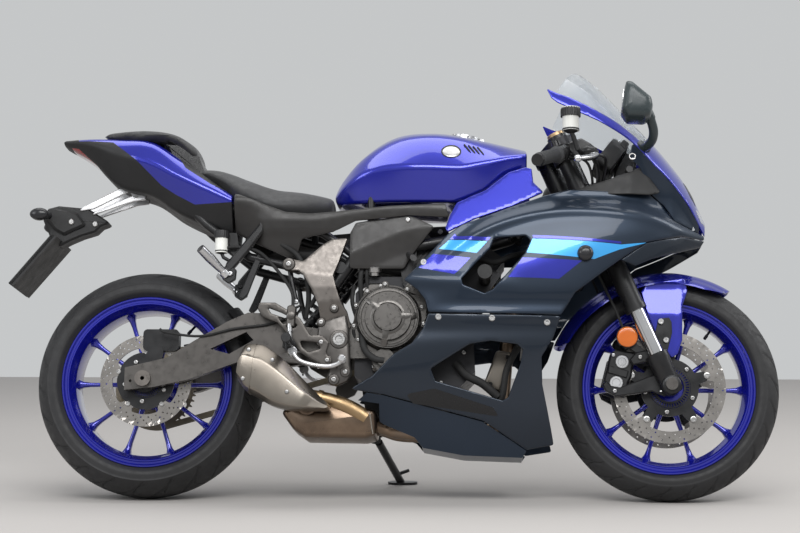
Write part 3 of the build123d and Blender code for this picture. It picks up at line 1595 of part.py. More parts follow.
with BuildPart() as hand_levers:
    # perch round the bar, its arm and the lever blade with a ball end
    add(rod(on_bar(62 + GRIP_LENGTH), on_bar(82 + GRIP_LENGTH), BAR_RADIUS + 7))
    add(rod(on_bar(72 + GRIP_LENGTH), (1176, -214, 893), 10))
    add(rod((1176, -214, 881), (1176, -214, 903), 12))
    add(pipe(((1176, -214, 891), (1192, -246, 884), (1146, -322, 858)), 6, 12))
    add(rod((1150, -315, 860), (1143, -327, 856), 8))
    add(rod(on_bar(60 + GRIP_LENGTH), on_bar(84 + GRIP_LENGTH), BAR_RADIUS), mode=Mode.SUBTRACT)
    mirror(about=Plane.XZ)
    # front brake master cylinder, on the right
    add(rod((1160, -200, 898), (1196, -222, 898), 13))
    add(rod((1165, -214, 896), (1148, -254, 900), 6))
    add(rod((1148, -254, 897), (RESERVOIR[0], RESERVOIR[1], RESERVOIR[2]), 5))

with BuildPart() as front_reservoir:
    x, y, z = RESERVOIR
    add(rod((x, y, z), (x, y, z + 46), 22))
    add(rod((x, y, z + 46), (x, y, z + 62), 25))
    add(hand_levers.part, mode=Mode.SUBTRACT)

with BuildPart() as front_fender:
    add(guard(FRONT_AXLE, FRONT_RADIUS + 18, 73, 39, 3, 58, 158))
    add(plate(((1330, 562), (1440, 570), (1434, 476), (1414, 436), (1372, 436), (1352, 480)), 70, 5))
    mirror(about=Plane.XZ)

CALIPER_SIDE = 164.0  # direction of the calipers from the axle, up from straight ahead

with BuildPart() as front_calipers:
    turn = radians(CALIPER_SIDE)
    block = Plane(
        origin=(FRONT_AXLE[0], -38, FRONT_AXLE[1]), x_dir=(cos(turn), 0, sin(turn)), z_dir=(0, -1, 0)
    )
    with BuildSketch(block):
        with Locations((138, 0)):
            RectangleRounded(76, 128, 18)
    extrude(amount=84 - 38)
    chamfer(front_calipers.faces().sort_by(Axis.Y)[0].edges(), length=5)
    with BuildSketch(wheel_plane(FRONT_AXLE, FRONT_DISC_PLACE - DISC_THICKNESS / 2 - DISC_ROOM)):
        Circle(FRONT_DISC_RADIUS + DISC_ROOM)
    extrude(amount=DISC_THICKNESS + 2 * DISC_ROOM, mode=Mode.SUBTRACT)
    mirror(about=Plane.XZ)

with BuildPart() as brake_hoses:
    low, high = on_leg(430, -50), on_leg(240, -48)
    foot = on_leg(150, -52)
    add(
        pipe(
            (
                (1196, -66, 745),
                (low[0], -74, low[1]),
                (high[0], -92, high[1]),
                (foot[0], -88, foot[1]),
                (1280, -73, 396),
            ),
            3.5,
            40,
        )
    )
    mirror(about=Plane.XZ)
    add(pipe(((1190, -218, 898), (1206, -160, 880), (1212, -108, 830), (1208, -78, 768)), 3.5, 36))
    add(yokes.part, mode=Mode.SUBTRACT)
    add(hand_levers.part, mode=Mode.SUBTRACT)
    add(front_calipers.part, mode=Mode.SUBTRACT)
    add(fork_legs.part, mode=Mode.SUBTRACT)


# ---------------------------------------------------------------- side stand
# The hinge lies square to the leg both as it stands and as it is folded back along the machine.
LEAN_SIN, LEAN_COS = sin(radians(LEAN)), cos(radians(LEAN))
FOOT_HEIGHT = (STAND_FOOT[1] * LEAN_SIN - LIFT) / LEAN_COS
stand_pivot = Vector(*STAND_PIVOT)
stand_foot = Vector(STAND_FOOT[0], STAND_FOOT[1], FOOT_HEIGHT)
stand_reach = stand_foot - stand_pivot
STAND_HINGE = stand_reach.cross(Vector(-1, 0, 0)).normalized()
floor_up = Vector(0, -LEAN_SIN, LEAN_COS)


def hinge_plane(offset):
    """Plane square to the stand's hinge, local y out from the machine."""
    return Plane(origin=stand_pivot + STAND_HINGE * offset, x_dir=(1, 0, 0), z_dir=STAND_HINGE)


with BuildPart() as stand_bracket:
    with BuildSketch(Plane.XZ.offset(-GEARBOX_FACE)):
        with BuildLine():
            Polyline(
                (570, 350),
                (570, 300),
                (588, 190),
                (606, 168),
                (626, 176),
                (646, 268),
                (652, 330),
                (630, 350),
                close=True,
            )
        make_face()
    extrude(amount=-10)
    for low in (-STAND_EYE / 2 - 8, STAND_EYE / 2 + 1):
        with BuildSketch(hinge_plane(low)):
            Circle(16)
            with Locations((0, -15)):
                Rectangle(32, 30)
            make_hull()
        extrude(amount=7)
    with BuildSketch(hinge_plane(-STAND_EYE / 2 - 11)):
        Circle(STAND_PIN)
    extrude(amount=STAND_EYE + 22)

with BuildPart() as side_stand:
    with BuildSketch(hinge_plane(-STAND_EYE / 2)):
        Circle(14)
        Circle(STAND_PIN + RUNNING, mode=Mode.SUBTRACT)
    extrude(amount=STAND_EYE)
    knee = stand_pivot + stand_reach * 0.13
    add(rod(tuple(stand_pivot + stand_reach.normalized() * 10), tuple(knee), 8))
    add(rod(tuple(knee), tuple(stand_foot + floor_up * 4 - stand_reach.normalized() * 4), STAND_RADIUS))
    with BuildSketch(Plane(origin=stand_foot, x_dir=(1, 0, 0), z_dir=floor_up)):
        with Locations((4, 0)):
            SlotOverall(84, 44)
    extrude(amount=7)
    # tang that the rider's heel catches
    tang = stand_pivot + stand_reach * 0.8
    add(rod(tuple(tang), tuple(tang + Vector(34, 20, 14)), 5))
    with BuildSketch(Plane(origin=stand_foot, x_dir=(1, 0, 0), z_dir=-floor_up)):
        Rectangle(200, 200)
    extrude(amount=40, mode=Mode.SUBTRACT)
    with BuildSketch(hinge_plane(-STAND_EYE / 2)):
        Circle(STAND_PIN + RUNNING)
    extrude(amount=STAND_EYE, mode=Mode.SUBTRACT)


# ---------------------------------------------------------------- leaned over, named and saved
lean = Location((0, 0, LIFT), (-LEAN, 0, 0))
PIECES = {
    "front_tyre": front_tyre,
    "front_rim": front_rim,
    "front_discs": front_discs,
    "rear_tyre": rear_tyre,
    "rear_rim": rear_rim,
    "rear_disc": rear_disc,
    "rear_sprocket": rear_sprocket,
    "chain": chain,
    "fuel_tank": fuel_tank,
    "fuel_cap": fuel_cap,
    "rider_seat": rider_seat,
    "pillion_seat": pillion_seat,
    "upper_fairings": upper_fairings,
    "lower_fairings": lower_fairings,
    "belly_pan": belly_pan,
    "windscreen": windscreen,
    "nose_cowl": nose_cowl,
    "engine": engine,
    "engine_covers": engine_covers,
    "exhaust_pipes": exhaust_pipes,
    "muffler": muffler,
    "rear_axle": rear_axle,
    "swingarm": swingarm,
    "rear_brake": rear_brake,
    "main_frame": main_frame,
    "seat_frame": seat_frame,
    "nose_stay": nose_stay,
    "tail_cowl": tail_cowl,
    "tail_lamp": tail_lamp,
    "undertail": undertail,
    "pivot_brackets": pivot_brackets,
    "footrests": footrests,
    "foot_controls": foot_controls,
    "side_covers": side_covers,
    "tank_side_panels": tank_side_panels,
    "rear_shock": rear_shock,
    "plate_holder": plate_holder,
    "rear_hugger": rear_hugger,
    "indicators": indicators,
    "radiator": radiator,
    "frame_sliders": frame_sliders,
    "instrument": instrument,
    "nose_panels": nose_panels,
    "headlamp": headlamp,
    "mirrors": mirrors,
    "rear_reservoir": rear_reservoir,
    "fork_tubes": fork_tubes,
    "fork_legs": fork_legs,
    "front_axle": front_axle,
    "yokes": yokes,
    "handlebars": handlebars,
    "grips": grips,
    "switch_housings": switch_housings,
    "hand_levers": hand_levers,
    "front_reservoir": front_reservoir,
    "front_fender": front_fender,
    "front_calipers": front_calipers,
    "brake_hoses": brake_hoses,
    "stand_bracket": stand_bracket,
    "side_stand": side_stand,
}
leaned = [piece.part.moved(lean) for piece in PIECES.values()]
boxes = [piece.bounding_box() for piece in leaned]
middle_x = (min(box.min.X for box in boxes) + max(box.max.X for box in boxes)) / 2
middle_y = (min(box.min.Y for box in boxes) + max(box.max.Y for box in boxes)) / 2
lowest = min(box.min.Z for box in boxes)
parked = Location((-middle_x, -middle_y, -lowest)) * lean
for label, piece in PIECES.items():
    piece.part = piece.part.moved(parked)
    piece.part.label = label
    export_step(piece.part, f"parts/{label}.step")
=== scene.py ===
from math import acos, asin, atan2, cos, exp, pi, radians, sin, sqrt, tan

import bmesh
import bpy
from mathutils import Matrix, Vector
from mathutils.geometry import delaunay_2d_cdt

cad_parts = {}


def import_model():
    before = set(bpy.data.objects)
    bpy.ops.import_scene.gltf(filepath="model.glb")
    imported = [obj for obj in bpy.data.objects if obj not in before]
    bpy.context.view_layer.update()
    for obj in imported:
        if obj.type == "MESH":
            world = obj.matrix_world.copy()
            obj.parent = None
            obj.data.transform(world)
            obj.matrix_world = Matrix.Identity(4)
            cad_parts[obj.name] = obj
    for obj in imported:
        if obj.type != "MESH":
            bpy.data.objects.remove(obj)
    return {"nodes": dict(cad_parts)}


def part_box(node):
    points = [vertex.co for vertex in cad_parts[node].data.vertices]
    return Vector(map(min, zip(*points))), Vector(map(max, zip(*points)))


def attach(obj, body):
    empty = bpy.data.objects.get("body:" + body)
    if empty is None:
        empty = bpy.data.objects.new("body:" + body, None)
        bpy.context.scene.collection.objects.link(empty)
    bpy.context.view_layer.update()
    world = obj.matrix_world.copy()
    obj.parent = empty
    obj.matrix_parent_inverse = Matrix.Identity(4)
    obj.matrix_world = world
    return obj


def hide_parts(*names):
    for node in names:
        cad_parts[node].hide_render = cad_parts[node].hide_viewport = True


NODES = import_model()["nodes"]
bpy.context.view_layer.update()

# ------------------------------------------------------------ the upright machine and the leaned frame
# Shapes are written in millimetres of the upright machine: u ahead of the rear axle, w left of the
# centre plane, v above the ground line. UPRIGHT takes them into the leaned frame in metres.
LEAN = radians(12)
REAR = Vector((0, 0, 306))
FRONT = Vector((1395, 0, 295.84))
CASTER = radians(23.67)
RIGHT = (0, -1, 0)
TIP = 0.05  # radius that closes a turned form
low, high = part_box("rear_axle")
AXLE = (Vector(low) + Vector(high)) / 2
OFFSET = AXLE - Vector((0, REAR.z * sin(LEAN), REAR.z * cos(LEAN))) / 1000
UPRIGHT = Matrix.Translation(OFFSET) @ Matrix.Rotation(-LEAN, 4, "X") @ Matrix.Scale(0.001, 4)
UP_LEG = Vector((-sin(CASTER), 0, cos(CASTER)))


def leg_at(height, ahead=0.0, place=-105.0):
    """Place on the right fork leg: up along it from the axle, ahead of it and left of the centre plane."""
    return Vector((
        FRONT.x - height * sin(CASTER) + ahead * cos(CASTER),
        place,
        FRONT.z + height * cos(CASTER) + ahead * sin(CASTER),
    ))


# ------------------------------------------------------------ materials
class Shade:
    """Writes one node material."""

    def __init__(self, name, color, rough, metal=0.0, coat=0.0, coat_rough=0.06, spec=0.5, sheen=0.0):
        self.mat = bpy.data.materials.new(name)
        self.mat.use_nodes = True
        self.nodes, self.links = self.mat.node_tree.nodes, self.mat.node_tree.links
        self.sockets = self.nodes["Principled BSDF"].inputs
        self.color, self.rough, self.normal = tuple(color) + (1.0,), rough, None
        for socket, value in (
            ("Base Color", self.color), ("Roughness", rough), ("Metallic", metal), ("Coat Weight", coat),
            ("Coat Roughness", coat_rough), ("Specular IOR Level", spec), ("Sheen Weight", sheen),
        ):
            self.sockets[socket].default_value = value
        self.mat.diffuse_color = self.color
        self.coords = self.nodes.new("ShaderNodeTexCoord").outputs["Object"]

    def node(self, kind, **inputs):
        """New node, its inputs set or linked; an underline stands for a space in an input's name."""
        node = self.nodes.new("ShaderNode" + kind)
        for name, value in inputs.items():
            socket = node.inputs[name.replace("_", " ")]
            if isinstance(value, bpy.types.NodeSocket):
                self.links.new(value, socket)
            else:
                socket.default_value = value
        return node

    def noise(self, scale, detail=3.0, rough=0.5, stretch=None):
        place = self.coords
        if stretch:
            place = self.node("Mapping", Vector=place, Scale=stretch).outputs["Vector"]
        return self.node("TexNoise", Vector=place, Scale=scale, Detail=detail, Roughness=rough).outputs["Fac"]

    def voronoi(self, scale, feature="F1", randomness=1.0):
        cells = self.node("TexVoronoi", Vector=self.coords, Scale=scale, Randomness=randomness)
        cells.feature = feature
        return cells.outputs["Distance"]

    def ramp(self, fac, stops):
        """Colours over a factor: stops of (position, colour)."""
        ramp = self.node("ValToRGB", Fac=fac)
        elements = ramp.color_ramp.elements
        for stop in stops[1:-1]:
            elements.new(stop[0])
        for element, (position, color) in zip(elements, stops):
            element.position, element.color = position, tuple(color) + (1.0,)
        return ramp.outputs["Color"]

    def span(self, fac, low, high, to_low, to_high):
        spread = self.node("MapRange", Value=fac, From_Min=low, From_Max=high, To_Min=to_low, To_Max=to_high)
        return spread.outputs["Result"]

    def mix(self, fac, a, b):
        mixer = self.nodes.new("ShaderNodeMix")
        mixer.data_type = "RGBA"
        for value, k in ((fac, 0), (a, 6), (b, 7)):
            if isinstance(value, tuple):
                mixer.inputs[k].default_value = value + (1.0,)
            elif isinstance(value, float):
                mixer.inputs[k].default_value = value
            else:
                self.links.new(value, mixer.inputs[k])
        return mixer.outputs[2]

    def paint(self, value):
        self.links.new(value, self.sockets["Base Color"])

    def vary(self, scale, amount):
        """Slight colour change over the surface."""
        tones = [tuple(max(0.0, min(1.0, k * (1 + change))) for k in self.color[:3])
            for change in (-amount, amount)]
        self.paint(self.ramp(self.noise(scale), ((0.3, tones[0]), (0.7, tones[1]))))

    def roughen(self, scale, amount, detail=4.0, stretch=None):
        """Slight change of gloss over the surface."""
        low, high = max(0.02, self.rough - amount), min(1.0, self.rough + amount)
        gloss = self.span(self.noise(scale, detail, stretch=stretch), 0.3, 0.7, low, high)
        self.links.new(gloss, self.sockets["Roughness"])

    def bump(self, height, strength, distance):
        bump = self.node("Bump", Strength=strength, Distance=distance, Height=height)
        if self.normal is not None:
            self.links.new(self.normal, bump.inputs["Normal"])
        self.normal = bump.outputs["Normal"]
        self.links.new(self.normal, self.sockets["Normal"])


BLUE = (0.008, 0.013, 0.33)
SLATE = (0.013, 0.024, 0.043)
# the slate paint made darker for the lower fairing and the chin: painted shade, as they share the upper fairing's
# finish
SLATE_SHADED = (0.010, 0.017, 0.029)


def metallic_paint(name, color, rough, metal, coat):
    """Metallic paint: fine flakes, a slow change of tone and a clear coat."""
    s = Shade(name, color, rough, metal, coat, 0.04)
    flakes = s.voronoi(2600)
    tone = s.noise(2.2, 2.0)
    dark = tuple(k * 0.82 for k in color)
    light = tuple(min(1.0, k * 1.22 + 0.004) for k in color)
    base = s.ramp(tone, ((0.3, dark), (0.7, light)))
    spark = tuple(min(1.0, k * 1.9 + 0.01) for k in color)
    s.paint(s.mix(s.span(flakes, 0.0, 0.28, 0.5, 0.0), base, spark))
    s.roughen(5.0, 0.03)
    s.bump(s.noise(60.0, 2.0), 0.03, 0.0004)
    return s.mat


def plastic(name, color, rough=0.55, grain=1400.0, strength=0.35):
    """Moulded black plastic with a fine grain."""
    s = Shade(name, color, rough, 0.0, 0.0, spec=0.4)
    s.vary(9.0, 0.18)
    s.roughen(40.0, 0.08)
    s.bump(s.voronoi(grain), strength, 0.0003)
    s.bump(s.noise(18.0, 2.0), 0.05, 0.001)
    return s.mat


def metal(name, color, rough, scale, stretch=None, strength=0.12, level=1.0, amount=0.1):
    """Bare or coated metal with a drawn, cast or blasted surface."""
    s = Shade(name, color, rough, level)
    s.vary(7.0, 0.12)
    s.roughen(scale, amount, stretch=stretch)
    s.bump(s.noise(scale * 6, 4.0, 0.6, stretch), strength, 0.0003)
    return s.mat


MATS = {
    "blue": metallic_paint("vivid_blue_paint", BLUE, 0.24, 0.55, 1.0),
    "slate": metallic_paint("slate_blue_paint", SLATE, 0.36, 0.65, 0.35),
    # darker copy of the slate paint: painted shade
    "slate_painted_shade": metallic_paint("slate_paint_with_painted_shade", SLATE_SHADED, 0.34, 0.6, 0.4),
    "cyan": metallic_paint("cyan_stripe", (0.03, 0.36, 0.80), 0.3, 0.25, 0.8),
    "wheel_blue": metallic_paint("blue_wheel_coat", (0.006, 0.009, 0.30), 0.22, 0.45, 1.0),
    "black_plastic": plastic("moulded_black_plastic", (0.011, 0.011, 0.0115), 0.5),
    "satin_black": plastic("satin_black_plastic", (0.008, 0.008, 0.009), 0.28, 2200.0, 0.12),
    "cover_grey": plastic("satin_cover_plastic", (0.026, 0.0245, 0.0235), 0.36, 1800.0, 0.18),
    "black_steel": metal("black_coated_steel", (0.011, 0.011, 0.012), 0.34, 30.0, None, 0.08, 0.2),
    "engine": metal("cast_crankcase_black", (0.030, 0.030, 0.032), 0.42, 90.0, None, 0.3, 0.75),
    "engine_cover": metal("cast_cover_grey", (0.120, 0.114, 0.108), 0.34, 120.0, None, 0.2, 0.9),
    "bronze": metal("bronze_grey_alloy", (0.165, 0.150, 0.138), 0.36, 90.0, None, 0.06, 0.9),
    "gunmetal": metal("gunmetal_alloy", (0.105, 0.098, 0.092), 0.36, 60.0, None, 0.12, 0.8),
    "hanger_grey": metal("hanger_grey_alloy", (0.095, 0.088, 0.082), 0.38, 80.0, None, 0.10, 0.85),
    "bright_arm": metal("bright_arm_alloy", (0.66, 0.66, 0.67), 0.34, 30.0, None, 0.04, 1.0, 0.03),
    "gold_steel": metal("gold_tinted_steel", (0.36, 0.25, 0.14), 0.42, 50.0, None, 0.12, 1.0),
    "mirror_shell": plastic("mirror_shell", (0.030, 0.040, 0.043), 0.30, 900.0, 0.12),
    "grip_rubber": plastic("grip_rubber", (0.035, 0.036, 0.038), 0.62, 1200.0, 0.4),
    "indicator_shell": plastic("indicator_shell", (0.020, 0.020, 0.022), 0.22, 500.0, 0.05),
    "alloy": metal("machined_alloy", (0.58, 0.58, 0.59), 0.28, 25.0, None, 0.03, 1.0, 0.05),
    "steel": metal("brushed_steel", (0.46, 0.455, 0.45), 0.3, 60.0, (1, 1, 12), 0.12),
    "disc": metal("disc_steel", (0.30, 0.282, 0.265), 0.3, 25.0, None, 0.04, 1.0, 0.06),
    "chrome": metal("polished_stanchion", (0.62, 0.62, 0.63), 0.09, 30.0, None, 0.01, 1.0, 0.02),
    "chain": metal("oiled_chain", (0.22, 0.19, 0.14), 0.4, 200.0, None, 0.3),
    "rubber": plastic("ribbed_rubber", (0.014, 0.014, 0.014), 0.75, 700.0, 0.5),
    "cup": plastic("cloudy_cup", (0.68, 0.68, 0.64), 0.35, 900.0, 0.05),
}


def exhaust_steel(name, heat):
    """Brushed stainless steel, tinted gold and brown where it gets hot."""
    s = Shade(name, (0.40, 0.37, 0.33), 0.32, 1.0)
    cold = s.ramp(s.noise(3.0, 2.0, 0.5), ((0.3, (0.205, 0.185, 0.160)), (0.7, (0.285, 0.260, 0.228))))
    hot = s.ramp(s.noise(9.0, 5.0, 0.6), ((0.3, (0.12, 0.080, 0.055)), (0.6, (0.25, 0.175, 0.12)),
        (0.8, (0.16, 0.13, 0.11))))
    s.paint(s.mix(heat, cold, hot))
    s.roughen(18.0, 0.06, 3.0)
    s.bump(s.noise(260.0, 3.0, 0.6, (1, 1, 9)), 0.04, 0.0002)
    return s.mat


MATS["exhaust"] = exhaust_steel("brushed_muffler_steel", 0.06)
MATS["hot_exhaust"] = exhaust_steel("heat_tinted_steel", 0.85)


def tyre_rubber():
    s = Shade("tyre_rubber", (0.016, 0.016, 0.017), 0.62, 0.0, spec=0.45)
    s.vary(5.0, 0.2)
    s.roughen(60.0, 0.1)
    s.bump(s.voronoi(1500), 0.25, 0.0003)
    s.bump(s.noise(120.0, 3.0), 0.08, 0.0005)
    return s.mat


MATS["tyre"] = tyre_rubber()


def seat_leather():
    s = Shade("grained_seat_cover", (0.02, 0.02, 0.021), 0.55, 0.0, spec=0.45, sheen=0.15)
    s.vary(12.0, 0.15)
    s.roughen(80.0, 0.08)
    s.bump(s.voronoi(420, "SMOOTH_F1"), 0.5, 0.0006)
    s.bump(s.noise(1500.0, 2.0), 0.15, 0.0003)
    return s.mat


MATS["seat"] = seat_leather()


def lens(name, color, transmission=0.6, emission=0.0):
    s = Shade(name, color, 0.08, 0.0, 0.6, spec=0.6)
    s.sockets["Transmission Weight"].default_value = transmission
    s.sockets["Emission Color"].default_value = tuple(color) + (1.0,)
    s.sockets["Emission Strength"].default_value = emission
    s.bump(s.voronoi(260, "F1", 0.15), 0.25, 0.0006)
    s.vary(30.0, 0.08)
    return s.mat


MATS["red_lens"] = lens("red_lens", (0.35, 0.008, 0.01), 0.3)
# the amber lens glows faintly through its emission: painted light, as it serves the side reflectors, which are no
# lamps
MATS["amber_lens"] = lens("amber_lens", (0.85, 0.19, 0.01), 0.35, 0.05)
MATS["white_lens"] = lens("white_lens", (0.75, 0.78, 0.80), 0.55)
MATS["smoked_lens"] = lens("smoked_lens", (0.03, 0.03, 0.035), 0.4)


def screen_glass():
    s = Shade("clear_screen", (0.82, 0.87, 0.92), 0.03, 0.0, 0.0, spec=0.5)
    s.sockets["Transmission Weight"].default_value = 0.92
    s.sockets["IOR"].default_value = 1.15
    s.sockets["Alpha"].default_value = 0.55
    s.bump(s.noise(9.0, 2.0), 0.02, 0.001)
    s.roughen(14.0, 0.015)
    return s.mat


MATS["screen"] = screen_glass()

LOOKS = {
    "tyre": ("front_tyre", "rear_tyre"),
    "wheel_blue": ("front_rim", "rear_rim"),
    "disc": ("front_discs", "rear_disc"),
    "chain": ("chain", "rear_sprocket"),
    "blue": ("fuel_tank", "nose_cowl", "tail_cowl", "tank_side_panels", "front_fender"),
    "slate": ("upper_fairings", "lower_fairings", "belly_pan"),
    "screen": ("windscreen",),
    "seat": ("rider_seat", "pillion_seat"),
    "engine": ("engine", "radiator", "yokes"),
    "engine_cover": ("engine_covers",),
    "hot_exhaust": ("exhaust_pipes",),
    "exhaust": ("muffler",),
    "bronze": ("pivot_brackets", "rear_axle"),
    "gunmetal": ("swingarm", "front_axle"),
    "alloy": ("fuel_cap", "foot_controls"),
    "black_steel": ("main_frame", "seat_frame", "nose_stay", "rear_brake", "rear_shock", "fork_tubes",
        "handlebars", "front_calipers", "side_stand", "stand_bracket", "footrests", "hand_levers"),
    "chrome": ("fork_legs",),
    "cover_grey": ("side_covers",),
    "black_plastic": ("undertail", "plate_holder", "rear_hugger", "frame_sliders", "instrument"),
    "satin_black": ("nose_panels", "mirrors", "switch_housings"),
    "rubber": ("grips", "brake_hoses"),
    "cup": ("front_reservoir", "rear_reservoir"),
    "red_lens": ("tail_lamp",),
    "smoked_lens": ("indicators",),
    "white_lens": ("headlamp",),
}


def dress(obj, look):
    obj.data.materials.clear()
    obj.data.materials.append(MATS[look])


for look, names in LOOKS.items():
    for name in names:
        dress(NODES[name], look)

# ------------------------------------------------------------ mesh builders, all in upright millimetres (u, w, v)
class Kit:
    """Collects shapes of one material on one body and makes them into one mesh piece."""

    def __init__(self):
        self.points = []
        self.faces = []

    def rings(self, rings, closed=False):
        """Skin over rings of equal length; each ring is a closed loop of points."""
        base, count = len(self.points), len(rings[0])
        self.points += [Vector(p) for ring in rings for p in ring]
        for j in range(len(rings) if closed else len(rings) - 1):
            a, b = base + j * count, base + (j + 1) % len(rings) * count
            for k in range(count):
                n = (k + 1) % count
                self.faces.append((a + k, a + n, b + n, b + k))
        if not closed:
            last = base + (len(rings) - 1) * count
            self.faces += [tuple(reversed(range(base, base + count))), tuple(range(last, last + count))]

    def lathe(self, centre, axis, profile, steps=32):
        """Profile rows of (along the axis, radius) turned about the axis."""
        axis = Vector(axis).normalized()
        side = axis.orthogonal().normalized()
        up = axis.cross(side)
        turns = [side * cos(2 * pi * k / steps) + up * sin(2 * pi * k / steps) for k in range(steps)]
        self.rings([[Vector(centre) + axis * along + turn * radius for turn in turns] for along, radius in profile])

    def bolt(self, place, axis, r, h):
        """Button-head bolt with a round socket, from its radius and height."""
        head = ((0, r), (h * 0.55, r), (h * 0.9, r * 0.82), (h, r * 0.66))
        self.lathe(place, axis, head + ((h, r * 0.5), (h * 0.4, r * 0.46), (h * 0.4, TIP)), 18)

    def bolts(self, places, out, r, h):
        """Bolts of one size at side-view places, this far right of the centre plane."""
        for u, v in places:
            self.bolt((u, -out, v), RIGHT, r, h)

    def tube(self, path, radius, steps=12, taper=None):
        """Round tube along a list of points."""
        path = [Vector(p) for p in path]
        rings = []
        normal = None
        for k, p in enumerate(path):
            way = (path[min(k + 1, len(path) - 1)] - path[max(k - 1, 0)]).normalized()
            if normal is None:
                normal = way.orthogonal().normalized()
            normal = (normal - way * normal.dot(way)).normalized()
            other = way.cross(normal)
            r = radius if taper is None else radius * taper[k]
            turns = [2 * pi * j / steps for j in range(steps)]
            rings.append([p + (normal * cos(turn) + other * sin(turn)) * r for turn in turns])
        self.rings(rings)

    def hose(self, points, radius, steps=14, per=6, taper=None):
        """Tube along a smooth line through the points."""
        self.tube(smooth_path(points, per), radius, steps, taper)

    def plate(self, outline, inner, outer, bevel=0.0):
        """Side-view outline (u, v) between two distances left of the centre plane."""
        low, high = min(inner, outer), max(inner, outer)
        loops = ((low, 0.0), (high, 0.0))
        if bevel:
            loops = ((low, bevel), (low + bevel, 0.0), (high - bevel, 0.0), (high, bevel))
        self.layers(outline, loops)

    def slab(self, outline, inner, steps, corner=6.0, per=4):
        """Rounded slab of a side-view outline: steps are (distance right, inset) out from the inner face."""
        loops = [(-inner, 0.0)] + [(-place, inset) for place, inset in steps]
        self.layers([Vector(p) for p in rounded(outline, corner, per)], loops)

    def layers(self, outline, loops):
        """Skin over one outline at several (distance left, inset)."""
        self.rings([
            [Vector((p[0], place, p[1])) for p in (inset_outline(outline, inset) if inset else outline)]
            for place, inset in loops
        ])

    def make(self, name, look, slot, node=None, body="chassis", smooth=40, both=False):
        """Piece of this material riding on the body, in place of the node; both adds the mirrored half."""
        mesh = bpy.data.meshes.new(name)
        points, faces = list(self.points), list(self.faces)
        if both:
            count = len(points)
            points += [Vector((p.x, -p.y, p.z)) for p in self.points]
            faces += [tuple(count + k for k in reversed(f)) for f in self.faces]
        mesh.from_pydata([tuple(p) for p in points], [], faces)
        mesh.transform(UPRIGHT)
        mesh.update()
        obj = bpy.data.objects.new(name, mesh)
        bpy.context.scene.collection.objects.link(obj)
        finish_mesh(obj, smooth)
        obj.data.materials.append(MATS[look])
        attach(obj, body)
        if node:
            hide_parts(node)
        return obj


def unit(x):
    return min(1.0, max(0.0, x))


def bell(x, width):
    return exp(-(x / width) ** 2)


def finish_mesh(obj, smooth=40):
    """Clean normals and smooth shading by angle."""
    bm = bmesh.new()
    bm.from_mesh(obj.data)
    bmesh.ops.recalc_face_normals(bm, faces=bm.faces)
    for e in bm.edges:
        e.smooth = not (len(e.link_faces) == 2 and e.calc_face_angle(0) > radians(smooth))
    for f in bm.faces:
        f.smooth = True
    bm.to_mesh(obj.data)
    bm.free()


def inset_outline(outline, inset):
    """The same outline, this far inside itself."""
    points = [Vector(p) for p in outline]
    area = sum(a.x * b.y - b.x * a.y for a, b in zip(points, points[1:] + points[:1]))
    turn = 1 if area > 0 else -1
    result = []
    for k, p in enumerate(points):
        a = (p - points[k - 1]).normalized()
        b = (points[(k + 1) % len(points)] - p).normalized()
        mid = Vector((-a.y, a.x)) * turn + Vector((-b.y, b.x)) * turn
        result.append(p + mid * (inset / max(0.35, mid.length_squared / 2)) if mid.length > 0.01 else p)
    return result


def smooth_path(points, per=8):
    """Catmull-Rom line through the points."""
    pts = [Vector(p) for p in points]
    line = []
    for k in range(len(pts) - 1):
        p0, p1, p2, p3 = pts[max(k - 1, 0)], pts[k], pts[k + 1], pts[min(k + 2, len(pts) - 1)]
        for j in range(per):
            t = j / per
            bend, swing = 2 * p0 - 5 * p1 + 4 * p2 - p3, 3 * p1 - p0 - 3 * p2 + p3
            line.append(0.5 * (2 * p1 + (p2 - p0) * t + bend * t * t + swing * t**3))
    line.append(pts[-1])
    return line


def curve_value(rows, x):
    """Smooth value through (x, value) rows."""
    rows = sorted(rows)
    if x <= rows[0][0]:
        return rows[0][1]
    if x >= rows[-1][0]:
        return rows[-1][1]
    slopes = [(b[1] - a[1]) / (b[0] - a[0]) for a, b in zip(rows, rows[1:])]
    k = next(k for k in range(len(slopes)) if rows[k][0] <= x <= rows[k + 1][0])
    m0 = m1 = here = slopes[k]
    if k:
        m0 = (slopes[k - 1] + here) / 2 if slopes[k - 1] * here > 0 else 0.0
    if k + 1 < len(slopes):
        m1 = (here + slopes[k + 1]) / 2 if here * slopes[k + 1] > 0 else 0.0
    (x0, y0), (x1, y1) = rows[k], rows[k + 1]
    h = x1 - x0
    t = (x - x0) / h
    start, end = (2 * t**3 - 3 * t**2 + 1) * y0, (-2 * t**3 + 3 * t**2) * y1
    return start + (t**3 - 2 * t**2 + t) * h * m0 + end + (t**3 - t**2) * h * m1


def corner_arc(p, start, end, per=5):
    """Curve from start to end that is drawn towards the corner p."""
    steps = [j / per for j in range(per + 1)]
    return [start * (1 - t) ** 2 + p * 2 * t * (1 - t) + end * t * t for t in steps]


def rounded(outline, radius, per=5):
    """Outline with its corners rounded, as a list of 2D points."""
    pts = [Vector(p) for p in outline]
    result = []
    for k, p in enumerate(pts):
        a, b = pts[k - 1] - p, pts[(k + 1) % len(pts)] - p
        turn = a.angle(b, pi)
        if turn > pi - 0.05:
            result.append(p)
            continue
        cut = min(radius / tan(turn / 2), a.length * 0.45, b.length * 0.45)
        result += corner_arc(p, p + a.normalized() * cut, p + b.normalized() * cut, per)
    return result


def spaced(outline, step):
    """Closed outline with points no further apart than the step."""
    result = []
    for a, b in zip(outline, outline[1:] + outline[:1]):
        count = max(1, int((b - a).length / step + 0.5))
        result += [a.lerp(b, k / count) for k in range(count)]
    return result


def is_inside(p, outline):
    hit = False
    for a, b in zip(outline, outline[1:] + outline[:1]):
        if (a.y > p.y) != (b.y > p.y) and p.x < (b.x - a.x) * (p.y - a.y) / (b.y - a.y) + a.x:
            hit = not hit
    return hit


